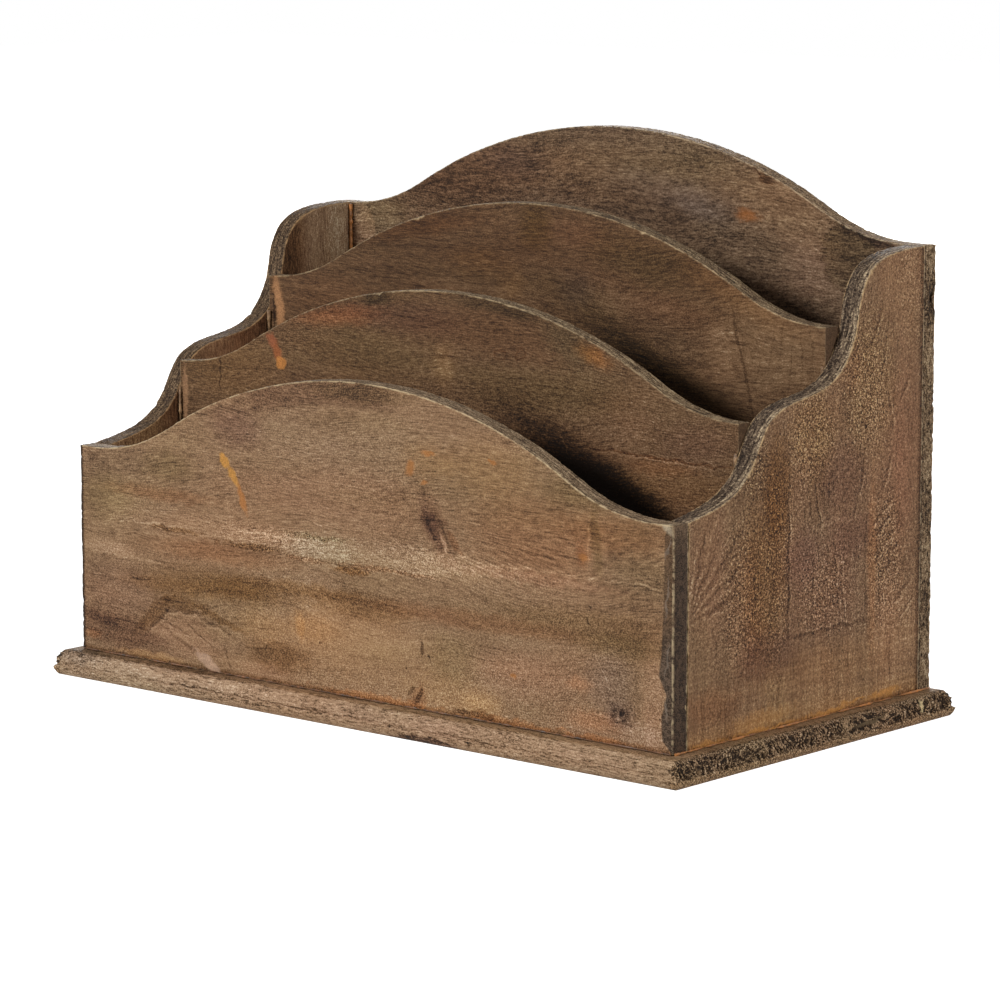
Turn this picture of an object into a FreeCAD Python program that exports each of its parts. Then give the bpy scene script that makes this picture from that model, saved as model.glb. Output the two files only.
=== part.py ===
import FreeCAD, Part
import math
import os

# A letter rack with three pockets, made of thin boards on a moulded base.
# Millimetres. +X runs to the right, +Y to the back and +Z up. The origin is the
# middle of the base's underside.

Vector = FreeCAD.Vector

# ---------------------------------------------------------------- the boards
box_width = 300.0  # over the two sides
front_pocket = 39.5  # clear depths of the pockets, from front to back
middle_pocket = 45.0
rear_pocket = 42.0

front_board_thickness = 8.0
front_divider_thickness = 6.5
rear_divider_thickness = 7.5
back_board_thickness = 7.5
side_thickness = 8.5

# Shoulders: where each board's arch starts, over the base's top face
front_shoulder = 82.0
front_divider_shoulder = 112.0
rear_divider_shoulder = 142.0
back_shoulder = 169.0

arch_rise = 37.5  # crown over shoulder, the same on all four boards
arch_foot_radius = 80.0  # hollow curve at each foot of the arch

# ---------------------------------------------------------------- the base
base_thickness = 10.0
front_overhang = 8.5
side_overhang = 8.5
back_overhang = 5.5

groove_height = 4.2  # V groove round the moulded edge, over the underside
groove_half_width = 0.7
groove_depth = 0.9
ovolo_run = 4.0  # quarter round above the groove, as seen from above
ovolo_step = 0.6  # how far the quarter round stays behind the bead
bead_undercut = 1.6  # the bead's foot behind its nose
bead_swell = 0.4  # how far the bead's curve stands off its chord

# ---------------------------------------------------------------- pins, glue
pin_diameter = 1.2
pin_length = 22.0
pin_head_diameter = 2.0
pin_head_height = 0.8
pin_set = 1.0  # heads are punched this far under the face and filled over
pin_clearance = 0.03  # all round a pin
base_pin_spacing = 100.0  # along the front and back boards
base_pin_inset = 30.0  # side board's base pins from the board's ends
divider_base_pin_spacing = 160.0

base_glue_leg = 1.2  # glue squeezed out along the foot of the box
corner_glue_leg = 1.8  # glue beads in the pockets' corners

# ---------------------------------------------------------------- where it all lies
base_top = base_thickness
half_width = box_width / 2
inside = half_width - side_thickness  # inner face of a side, from the middle

box_depth = (
    front_board_thickness + front_pocket
    + front_divider_thickness + middle_pocket
    + rear_divider_thickness + rear_pocket
    + back_board_thickness
)
front_face = front_overhang - (front_overhang + box_depth + back_overhang) / 2
front_inner = front_face + front_board_thickness
front_divider_face = front_inner + front_pocket
front_divider_back = front_divider_face + front_divider_thickness
rear_divider_face = front_divider_back + middle_pocket
rear_divider_back = rear_divider_face + rear_divider_thickness
back_inner = rear_divider_back + rear_pocket
back_face = back_inner + back_board_thickness
side_middle = half_width - side_thickness / 2


def line(a, b):
    return Part.makeLine(a, b)


def arc(a, middle, b):
    return Part.Arc(a, middle, b).toShape()


def extruded(edges, path):
    """Solid made by moving a closed flat outline along a path."""
    face = Part.Face(Part.Wire(edges))
    return face.extrude(path)


# ---------------------------------------------------------------- pins
def pin_shape(head, direction, gap):
    """Round pin with a small flat head; head is the middle of its outer end."""
    shank = Part.makeCylinder(pin_diameter / 2 + gap, pin_length + gap, head, direction)
    cap = Part.makeCylinder(
        pin_head_diameter / 2 + gap, pin_head_height + gap, head, direction
    )
    return shank.fuse(cap).removeSplitter().Solids[0]


def levels(height, count):
    """Heights that share a joint out evenly."""
    return [base_top + height * (step + 0.5) / count for step in range(count)]


FORWARD = Vector(0, -1, 0)
BACKWARD = Vector(0, 1, 0)
UP = Vector(0, 0, 1)

pin_places = {"front_pins": [], "back_pins": [], "divider_pins": [], "base_pins": []}
for hand in (-1, 1):
    inward = Vector(-hand, 0, 0)
    for height in levels(front_shoulder, 3):
        head = Vector(hand * side_middle, front_face + pin_set, height)
        pin_places["front_pins"].append((head, BACKWARD))
    for height in levels(back_shoulder, 4):
        head = Vector(hand * side_middle, back_face - pin_set, height)
        pin_places["back_pins"].append((head, FORWARD))
    for shoulder, face, back in (
        (front_divider_shoulder, front_divider_face, front_divider_back),
        (rear_divider_shoulder, rear_divider_face, rear_divider_back),
    ):
        for height in levels(shoulder, 2):
            head = Vector(hand * (half_width - pin_set), (face + back) / 2, height)
            pin_places["divider_pins"].append((head, inward))

for middle, xs in (
    ((front_face + front_inner) / 2, (-base_pin_spacing, 0, base_pin_spacing)),
    (
        (front_divider_face + front_divider_back) / 2,
        (-divider_base_pin_spacing / 2, divider_base_pin_spacing / 2),
    ),
    (
        (rear_divider_face + rear_divider_back) / 2,
        (-divider_base_pin_spacing / 2, divider_base_pin_spacing / 2),
    ),
    ((back_inner + back_face) / 2, (-base_pin_spacing, 0, base_pin_spacing)),
    (front_face + base_pin_inset, (-side_middle, side_middle)),
    (back_face - base_pin_inset, (-side_middle, side_middle)),
):
    for x in xs:
        pin_places["base_pins"].append((Vector(x, middle, pin_set), UP))

holes = Part.makeCompound([
    pin_shape(head - direction * pin_clearance, direction, pin_clearance)
    for group in pin_places.values()
    for head, direction in group
])


def drilled(board):
    """The board with the pins' holes, which the filler closes over the heads."""
    return board.cut(holes).Solids[0]


# ---------------------------------------------------------------- arched boards
def arched_board(half_length, face, thickness, shoulder):
    """Board across the rack; its top is an arch that spans the inside of the box.

    A crown arc and two hollow foot arcs meet smoothly, and end level.
    """
    foot_z = base_top + shoulder
    turn = 2 * math.atan2(arch_rise, inside)
    crown_radius = (inside**2 + arch_rise**2) / (2 * arch_rise) - arch_foot_radius

    def crown(angle, hand):
        x = crown_radius * math.sin(angle)
        drop = crown_radius * (1 - math.cos(angle))
        return Vector(hand * x, face, foot_z + arch_rise - drop)

    def foot(angle, hand):
        x = inside - arch_foot_radius * math.sin(angle)
        return Vector(hand * x, face, foot_z + arch_foot_radius * (1 - math.cos(angle)))

    edges = []
    edges.append(arc(crown(turn, -1), crown(0, 1), crown(turn, 1)))
    for hand in (-1, 1):
        heel = foot(0, hand)
        outer = Vector(hand * half_length, face, foot_z)
        edges.append(arc(crown(turn, hand), foot(turn / 2, hand), heel))
        if half_length - inside > 1e-6:
            edges.append(line(heel, outer))
        edges.append(line(outer, Vector(outer.x, face, base_top)))
    edges.append(line(
        Vector(-half_length, face, base_top), Vector(half_length, face, base_top)
    ))
    wire = Part.__sortEdges__(edges)
    return extruded(wire, Vector(0, thickness, 0))


# ---------------------------------------------------------------- side boards
def side_outline(x):
    """Outline of a side at x: its top climbs in two scrolled steps.

    The scroll runs from the front board's shoulder through each divider's back
    corner to the back board's shoulder. Between two of these corners its points
    are shares of the way along and of the climb.
    """
    corners = [
        Vector(x, front_inner, base_top + front_shoulder),
        Vector(x, front_divider_back, base_top + front_divider_shoulder),
        Vector(x, rear_divider_back, base_top + rear_divider_shoulder),
        Vector(x, back_inner, base_top + back_shoulder),
    ]
    shares = (
        ((0.38, 0.12), (0.65, 0.30), (0.83, 0.60)),
        ((0.17, 0.16), (0.56, 0.29), (0.81, 0.48), (0.94, 0.75)),
        ((0.05, 0.35), (0.20, 0.74), (0.50, 0.94)),
    )
    points = []
    for start, end, run in zip(corners, corners[1:], shares):
        points.append(start)
        for along, climb in run:
            y = start.y + (end.y - start.y) * along
            z = start.z + (end.z - start.z) * climb
            points.append(Vector(x, y, z))
    points.append(corners[-1])
    scroll = Part.BSplineCurve()
    scroll.interpolate(points)
    front_foot = Vector(x, front_inner, base_top)
    back_foot = Vector(x, back_inner, base_top)
    return [
        line(front_foot, points[0]),
        scroll.toShape(),
        line(points[-1], back_foot),
        line(back_foot, front_foot),
    ]


def side_board(hand):
    outer = hand * half_width
    return extruded(side_outline(outer), Vector(-hand * side_thickness, 0, 0))


# ---------------------------------------------------------------- moulded base
def base_section(low, high, low_overhang, high_overhang, point):
    """Cross-section of the base, from one box face to the other, as edges.

    point(u, z) places a point of the section in space.
    """
    groove_top = groove_height + groove_half_width
    bead_top = groove_height - groove_half_width
    ovolo_drop = base_top - groove_top
    edges = []
    ends = []
    for hand, face, overhang in ((-1, low, low_overhang), (1, high, high_overhang)):
        nose = face + hand * overhang
        ovolo_foot = nose - hand * ovolo_step
        ovolo_head = ovolo_foot - hand * ovolo_run
        top = point(ovolo_head, base_top)
        ovolo_mid = point(
            ovolo_head + hand * ovolo_run * math.sin(math.pi / 4),
            base_top - ovolo_drop * (1 - math.cos(math.pi / 4)),
        )
        ovolo_end = point(ovolo_foot, groove_top)
        groove = point(nose - hand * groove_depth, groove_height)
        bead_start = point(nose, bead_top)
        bead_mid = point(nose - hand * (bead_undercut / 2 - bead_swell), bead_top / 2)
        bead_end = point(nose - hand * bead_undercut, 0)
        edges.append(arc(top, ovolo_mid, ovolo_end))
        edges.append(line(ovolo_end, groove))
        edges.append(line(groove, bead_start))
        edges.append(arc(bead_start, bead_mid, bead_end))
        ends.append((top, bead_end))
    edges.append(line(ends[0][0], ends[1][0]))
    edges.append(line(ends[0][1], ends[1][1]))
    return Part.__sortEdges__(edges)


def base_board():
    """The same moulding on all four edges, mitred where two edges meet."""
    reach = box_width + box_depth
    across = extruded(
        base_section(
            -half_width, half_width, side_overhang, side_overhang,
            lambda u, z: Vector(u, -reach, z),
        ),
        Vector(0, 2 * reach, 0),
    )
    along = extruded(
        base_section(
            front_face, back_face, front_overhang, back_overhang,
            lambda u, z: Vector(-reach, u, z),
        ),
        Vector(2 * reach, 0, 0),
    )
    return across.common(along).Solids[0]


# ---------------------------------------------------------------- glue beads
def bead(corner, first, second, run):
    """Three-sided bead of glue that fills a corner between two faces."""
    a = corner + first
    b = corner + second
    return extruded([line(corner, a), line(a, b), line(b, corner)], run)


def foot_bead(start, out, run):
    """Bead along the foot of the box, on the base's top face."""
    return bead(start, out * base_glue_leg, UP * base_glue_leg, run)


def corner_bead(hand, y, toward, height):
    """Upright bead where a side meets another board, no higher than the side."""
    corner = Vector(hand * inside, y, base_top)
    inward = Vector(-hand * corner_glue_leg, 0, 0)
    solid = bead(corner, inward, toward * corner_glue_leg, UP * height)
    below_scroll = extruded(side_outline(-half_width), Vector(box_width, 0, 0))
    return solid.common(below_scroll).Solids[0]


# ---------------------------------------------------------------- assembly
nodes = {}
nodes["base_board"] = drilled(base_board())
nodes["front_board"] = drilled(
    arched_board(half_width, front_face, front_board_thickness, front_shoulder)
)
nodes["front_divider"] = drilled(arched_board(
    inside, front_divider_face, front_divider_thickness, front_divider_shoulder
))
nodes["rear_divider"] = drilled(arched_board(
    inside, rear_divider_face, rear_divider_thickness, rear_divider_shoulder
))
nodes["back_board"] = drilled(
    arched_board(half_width, back_inner, back_board_thickness, back_shoulder)
)

for name, hand in (("left", -1), ("right", 1)):
    nodes[name + "_side"] = drilled(side_board(hand))
    corner = Vector(hand * half_width, front_face, base_top)
    nodes["glue_foot_" + name] = foot_bead(
        corner, Vector(hand, 0, 0), Vector(0, box_depth, 0)
    )
    nodes["glue_front_divider_" + name] = corner_bead(
        hand, front_divider_face, FORWARD, front_divider_shoulder
    )
    nodes["glue_rear_divider_" + name] = corner_bead(
        hand, rear_divider_face, FORWARD, rear_divider_shoulder
    )
    nodes["glue_back_corner_" + name] = corner_bead(
        hand, back_inner, FORWARD, back_shoulder
    )

for name, y, out in (("front", front_face, FORWARD), ("back", back_face, BACKWARD)):
    start = Vector(-half_width, y, base_top)
    nodes["glue_foot_" + name] = foot_bead(start, out, Vector(box_width, 0, 0))

for name, places in pin_places.items():
    nodes[name] = Part.makeCompound(
        [pin_shape(head, direction, 0) for head, direction in places]
    )

os.makedirs("parts", exist_ok=True)
for name, shape in nodes.items():
    shape.exportStep("parts/" + name + ".step")
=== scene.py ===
import math

import bmesh
import bpy
import numpy as np
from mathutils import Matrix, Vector


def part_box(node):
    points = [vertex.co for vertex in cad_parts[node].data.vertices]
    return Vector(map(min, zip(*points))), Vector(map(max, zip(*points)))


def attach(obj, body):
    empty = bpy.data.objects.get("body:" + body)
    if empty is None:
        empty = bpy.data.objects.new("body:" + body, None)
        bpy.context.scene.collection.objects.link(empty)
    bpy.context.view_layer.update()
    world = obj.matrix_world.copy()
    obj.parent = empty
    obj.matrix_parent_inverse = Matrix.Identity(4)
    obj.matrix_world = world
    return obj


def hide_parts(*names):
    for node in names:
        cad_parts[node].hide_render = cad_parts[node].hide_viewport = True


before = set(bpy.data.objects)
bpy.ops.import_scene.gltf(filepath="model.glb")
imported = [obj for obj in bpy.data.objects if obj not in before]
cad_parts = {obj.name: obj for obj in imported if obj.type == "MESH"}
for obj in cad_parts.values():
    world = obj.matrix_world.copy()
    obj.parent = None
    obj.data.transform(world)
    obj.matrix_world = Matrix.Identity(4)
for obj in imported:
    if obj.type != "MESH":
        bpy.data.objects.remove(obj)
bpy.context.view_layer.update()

MM = 0.001


# ==================================================================== base board
# One pale board with a moulding run round all four edges: a quarter round over a
# groove and a bead. It is sawn and moulded from one piece, so its two ends are open
# end grain that has crumbled, and its long sides are rubbed pale.

def put(tree, kind, inputs=None, out=0, **settings):
    """Adds a node, sets or wires the inputs that are named, and gives one output."""
    node = tree.nodes.new(kind)
    for key, value in settings.items():
        setattr(node, key, value)
    for key, value in (inputs or {}).items():
        socket = node.inputs[key]
        if isinstance(value, bpy.types.NodeSocket):
            tree.links.new(value, socket)
        else:
            socket.default_value = value
    return node.outputs[out]


def calc(tree, operation, a, b=0.0, c=0.0):
    inputs = {0: a, 1: b}
    if operation == "MULTIPLY_ADD":
        inputs[2] = c
    return put(tree, "ShaderNodeMath", inputs, operation=operation)


def times(tree, *values):
    total = values[0]
    for value in values[1:]:
        total = calc(tree, "MULTIPLY", total, value)
    return total


def shown(tree, shader):
    """Makes a shader the one that a material or the world shows."""
    kind = "World" if shader.node.bl_idname == "ShaderNodeBackground" else "Material"
    tree.links.new(shader, tree.nodes.new("ShaderNodeOutput" + kind).inputs[0])


def moved(tree, operation, a, b):
    """Adds, multiplies or divides two vectors; a plain number stands for all three axes."""
    b = (b, b, b) if isinstance(b, (int, float)) else b
    return put(tree, "ShaderNodeVectorMath", {0: a, 1: b}, operation=operation)


def millimetres(tree):
    """Where a point lies on the rack."""
    return moved(tree, "DIVIDE", put(tree, "ShaderNodeTexCoord", out=3), MM)


def parts_of(tree, vector):
    """The three numbers of a vector."""
    return list(put(tree, "ShaderNodeSeparateXYZ", {0: vector}).node.outputs)


def span(tree, value, low, high, to_low=0.0, to_high=1.0, soft=False):
    """Stretches a value from low..high to to_low..to_high, and stops at both ends."""
    return put(
        tree, "ShaderNodeMapRange",
        {"Value": value, "From Min": low, "From Max": high, "To Min": to_low, "To Max": to_high},
        interpolation_type="SMOOTHSTEP" if soft else "LINEAR", clamp=not soft,
    )


def mottle(tree, where, pitch, detail=2.0, rough=0.5, lift=0.0, out=0):
    """Noise around 0.5; pitch is how many blotches there are to a millimetre, by axis."""
    place = moved(tree, "MULTIPLY", where, pitch)
    if lift:
        place = moved(tree, "ADD", place, lift)
    return put(
        tree, "ShaderNodeTexNoise",
        {"Vector": place, "Scale": 1.0, "Detail": detail, "Roughness": rough}, out,
    )


def blank_material(name):
    material = bpy.data.materials.new(name)
    material.use_nodes = True
    material.node_tree.nodes.clear()
    return material


def placed(name, data):
    """A new object of the scene, at the origin."""
    thing = bpy.data.objects.new(name, data)
    bpy.context.scene.collection.objects.link(thing)
    return thing


def anticlockwise(points):
    """A closed outline's points, turned round if they run clockwise."""
    x, y = points.T
    area = np.sum(x * np.roll(y, -1) - np.roll(x, -1) * y)
    return points if area > 0 else points[::-1]


def sides(points, step):
    """The sides of a closed outline, from corner to corner, in even short steps.

    Each side holds its points, how far along each lies, which way is inwards there,
    how many steps it takes and how sharply the outline turns at its start.
    """
    ahead = np.roll(points, -1, axis=0) - points
    heading = np.arctan2(ahead[:, 1], ahead[:, 0])
    turn = (heading - np.roll(heading, 1) + math.pi) % (2 * math.pi) - math.pi
    sharp = math.radians(25)
    corners = np.flatnonzero(np.abs(turn) > sharp)
    result = []
    for start, end in zip(corners, np.roll(corners, -1)):
        count = (end - start) % len(points) or len(points)
        run = points[(start + np.arange(count + 1)) % len(points)]
        along = np.r_[0, np.cumsum(np.linalg.norm(np.diff(run, axis=0), axis=1))]
        way = np.gradient(run, along, axis=0)
        inwards = np.column_stack([-way[:, 1], way[:, 0]])
        inwards /= np.linalg.norm(inwards, axis=1)[:, None]
        result.append((run, along, inwards, math.ceil(along[-1] / step), turn[start]))
    return result


def inset_ring(outline, inset):
    """The outline moved inwards with its corners mitred, the way inwards, how far round."""
    places, ways, rounds = [], [], []
    gone = 0.0
    for i, (run, along, inwards, count, turn) in enumerate(outline):
        next_turn = outline[(i + 1) % len(outline)][4]
        first = inset * math.tan(turn / 2)
        last = along[-1] - inset * math.tan(next_turn / 2)
        at = np.linspace(first, last, count + 1)[:-1]
        way = np.column_stack([np.interp(at, along, inwards[:, k]) for k in (0, 1)])
        before = outline[i - 1][2][-1]
        way[0] = (before + way[0]) / (1 + before @ way[0])
        point = np.column_stack([np.interp(at, along, run[:, k]) for k in (0, 1)])
        point[0] = run[0]
        places.append(point + way * inset)
        ways.append(way)
        rounds.append(gone + at)
        gone += along[-1]
    return np.concatenate(places), np.concatenate(ways), np.concatenate(rounds)


def board(name, outline, rings, axis, level, dent=None):
    """Closed board: rings of points that follow the outline from one face to the other.

    rings holds (inset, depth, rim) in millimetres: depth runs from level along the
    axis, and rim is 1 where the ring lies on the sawn edge. Each point also keeps how
    far it is from the nearest arris, how far round it is, which way is inwards, and
    the dent there.
    """
    rings = np.array(rings) * (MM, MM, 1)
    plane = [i for i in range(3) if i != axis]
    count = sum(side[3] for side in outline)
    places = np.zeros((len(rings), count, 3))
    inward = np.zeros((len(rings), count, 3))
    rounds = np.zeros((len(rings), count))
    slope = np.gradient(rings[:, :2], axis=0)
    slope /= np.linalg.norm(slope, axis=1)[:, None]
    thickness = abs(rings[-1, 1])
    for i, (inset, depth, _) in enumerate(rings):
        places[i][:, plane], ways, rounds[i] = inset_ring(outline, inset)
        places[i][:, axis] = level + depth
        inward[i][:, plane] = ways * abs(slope[i, 1])
        inward[i][:, axis] = -math.copysign(1, rings[-1, 1]) * slope[i, 0]
    bm = bmesh.new()
    grid = [[bm.verts.new(p) for p in ring] for ring in places]
    for near, far in zip(grid, grid[1:]):
        for k in range(count):
            bm.faces.new((near[k], near[k - 1], far[k - 1], far[k]))
    for ring in (grid[0], grid[-1]):
        edges = [bm.edges.get((ring[k], ring[k - 1])) for k in range(count)]
        bmesh.ops.triangle_fill(bm, edges=edges, use_beauty=True)
    bmesh.ops.recalc_face_normals(bm, faces=bm.faces)
    mesh = bpy.data.meshes.new(name)
    bm.to_mesh(mesh)
    bm.free()
    mesh.shade_smooth()
    depth = np.abs(rings[:, 1])
    arris = rings[:, 0] + np.minimum(depth, thickness - depth)
    for label, values in (
        ("arris", np.repeat(arris, count)),
        ("along", rounds.ravel()),
        ("share", np.repeat(np.abs(slope).sum(axis=1), count)),
        ("rim", np.repeat(rings[:, 2], count)),
        ("dent", np.zeros(len(rings) * count) if dent is None
         else dent(places / MM, rings[:, 0] / MM).ravel() * MM),
    ):
        mesh.attributes.new(label, "FLOAT", "POINT").data.foreach_set("value", values)
    mesh.attributes.new("inward", "FLOAT_VECTOR", "POINT").data.foreach_set(
        "vector", inward.ravel()
    )
    return placed(name, mesh)


def shape_tree(name, *sizes):
    """An empty Geometry Nodes tree with named sizes, its inputs, and where a point lies.

    The last size is the seed, which slides the noise along.
    """
    tree = bpy.data.node_groups.new(name, "GeometryNodeTree")
    for label, kind in (
        ("Geometry", "Geometry"), *((size, "Float") for size in sizes), ("Material", "Material")
    ):
        tree.interface.new_socket(label, in_out="INPUT", socket_type="NodeSocket" + kind)
    tree.interface.new_socket("Geometry", in_out="OUTPUT", socket_type="NodeSocketGeometry")
    given = tree.nodes.new("NodeGroupInput").outputs
    here = moved(tree, "DIVIDE", put(tree, "GeometryNodeInputPosition"), MM)
    seed = put(tree, "ShaderNodeCombineXYZ", {0: given[sizes[-1]]})
    return tree, given, moved(tree, "ADD", here, seed)


def end_tree(tree, given, solid):
    """Makes a tree's result real geometry in its material, and gives the tree."""
    solid = put(tree, "GeometryNodeRealizeInstances", {"Geometry": solid})
    solid = put(tree, "GeometryNodeSetMaterial", {"Geometry": solid, "Material": given["Material"]})
    tree.links.new(solid, tree.nodes.new("NodeGroupOutput").inputs[0])
    return tree


def wear_tree():
    """Geometry Nodes that rub and chip a board's arrises and pit its sawn edges."""
    tree, given, here = shape_tree("wear", "Rub", "Chip", "Pit", "Pit Size", "End Pit", "Seed")

    def kept(label, kind="FLOAT"):
        return put(tree, "GeometryNodeInputNamedAttribute", {"Name": label}, data_type=kind)

    rub = times(tree, span(tree, mottle(tree, here, 0.06, 4.0, 0.6), 0.30, 0.72), given["Rub"])
    chip = span(tree, mottle(tree, here, 0.24, 3.0, 0.6, lift=40.0), 0.58, 0.74, soft=True)
    cut = calc(tree, "ADD", rub, times(tree, chip, given["Chip"]))
    cut = calc(tree, "DIVIDE", calc(tree, "SUBTRACT", cut, kept("arris")), kept("share"))
    cut = calc(tree, "MAXIMUM", cut, 0.0)
    inward = kept("inward", "FLOAT_VECTOR")
    flat = put(
        tree, "ShaderNodeSeparateXYZ",
        {0: put(tree, "ShaderNodeVectorMath", {0: inward}, operation="ABSOLUTE")},
    )
    ends = calc(tree, "MULTIPLY_ADD", span(tree, flat, 0.5, 0.9), given["End Pit"], 1.0)
    crumb = put(tree, "ShaderNodeVectorMath", {0: here, 1: given["Pit Size"]}, operation="DIVIDE")
    pit = span(tree, mottle(tree, crumb, 1.0, 3.0, 0.62, lift=12.0), 0.42, 0.74)
    pit = times(tree, pit, kept("rim"), ends)
    depth = calc(tree, "ADD", cut, kept("dent"))
    depth = calc(tree, "ADD", depth, times(tree, pit, given["Pit"]))
    offset = put(tree, "ShaderNodeVectorMath", {0: inward, "Scale": depth}, operation="SCALE")
    solid = put(
        tree, "GeometryNodeStoreNamedAttribute",
        {"Geometry": given["Geometry"], "Name": "worn", "Value": span(tree, cut, 0.0, 0.3 * MM)},
    )
    solid = put(
        tree, "GeometryNodeStoreNamedAttribute", {"Geometry": solid, "Name": "pit", "Value": pit}
    )
    solid = put(tree, "GeometryNodeSetPosition", {"Geometry": solid, "Offset": offset})
    return end_tree(tree, given, solid)


def run_nodes(piece, tree, **values):
    """Runs a Geometry Nodes tree on a piece and keeps the result as its plain mesh."""
    modifier = piece.modifiers.new(tree.name, "NODES")
    modifier.node_group = tree
    for item in tree.interface.items_tree:
        label = item.name.replace(" ", "_").lower()
        if item.in_out == "INPUT" and label in values:
            modifier[item.identifier] = values[label]
    graph = bpy.context.evaluated_depsgraph_get()
    mesh = bpy.data.meshes.new_from_object(
        piece.evaluated_get(graph), preserve_all_data_layers=True, depsgraph=graph
    )
    piece.modifiers.clear()
    piece.data = mesh
    mesh.name = piece.name
    return piece


def colour(red, green, blue):
    """A colour as it looks on a screen, 0 to 255, made linear."""
    return tuple(
        v / 12.92 if v <= 0.04045 else ((v + 0.055) / 1.055) ** 2.4
        for v in (red / 255, green / 255, blue / 255)
    ) + (1.0,)


def mixed(tree, factor, a, b, how="MIX"):
    return put(
        tree, "ShaderNodeMix", {0: factor, 6: a, 7: b}, out=2,
        data_type="RGBA", blend_type=how, clamp_factor=True,
    )


def ramp(tree, value, stops):
    """Colours laid out along a value; stops holds (place, colour)."""
    node = tree.nodes.new("ShaderNodeValToRGB")
    tree.links.new(value, node.inputs[0])
    elements = node.color_ramp.elements
    while len(elements) < len(stops):
        elements.new(0.5)
    for element, (place, tint) in zip(elements, stops):
        element.position = place
        element.color = tint
    return node.outputs[0]


REDDISH = (1.08, 0.96, 0.88)
ORANGE = (1.16, 0.98, 0.74)
OLIVE = (0.97, 1.01, 0.93)
PURPLE = (0.99, 0.94, 1.02)
PINKISH = (1.03, 0.97, 0.98)
TAN = (1.05, 1.0, 0.90)
ASHEN = (0.96, 1.01, 1.10)
SOOTY = (0.98, 1.03, 1.16)
BROWN = (1.06, 0.99, 0.85)


# The radius of every arched board's crown, in millimetres.
CROWN_RADIUS = 205.7


def oval_group(leaning, hollow):
    """A shader group that gives 1 inside an oval and 0 outside it.

    hollow keeps only its rim, and a leaning oval is measured along three rows.
    """
    tree = bpy.data.node_groups.new("oval", "ShaderNodeTree")
    face = tree.interface
    for label in ("Place", "Centre") + (("Row 0", "Row 1", "Row 2") if leaning else ("Size",)):
        face.new_socket(label, in_out="INPUT", socket_type="NodeSocketVector")
    for label in ("Torn", "Raggedness", "Outside", "Inside"):
        face.new_socket(label, in_out="INPUT", socket_type="NodeSocketFloat")
    face.new_socket("Mask", in_out="OUTPUT", socket_type="NodeSocketFloat")
    given = tree.nodes.new("NodeGroupInput").outputs
    oval = moved(tree, "SUBTRACT", given["Place"], given["Centre"])
    if leaning:
        oval = put(tree, "ShaderNodeCombineXYZ", {
            i: put(tree, "ShaderNodeVectorMath", {0: oval, 1: given["Row %d" % i]}, out=1,
                   operation="DOT_PRODUCT") for i in range(3)
        })
    else:
        oval = moved(tree, "DIVIDE", oval, given["Size"])
    away = put(tree, "ShaderNodeVectorMath", {0: oval}, out=1, operation="LENGTH")
    away = calc(tree, "MULTIPLY_ADD", given["Torn"], given["Raggedness"], away)
    if hollow:
        away = calc(tree, "ABSOLUTE", calc(tree, "SUBTRACT", away, 1.0))
    mask = span(tree, away, given["Outside"], given["Inside"], soft=True)
    tree.links.new(mask, tree.nodes.new("NodeGroupOutput").inputs[0])
    return tree


OVALS = {(leaning, hollow): oval_group(leaning, hollow)
         for leaning in (False, True) for hollow in (False, True)}


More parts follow.
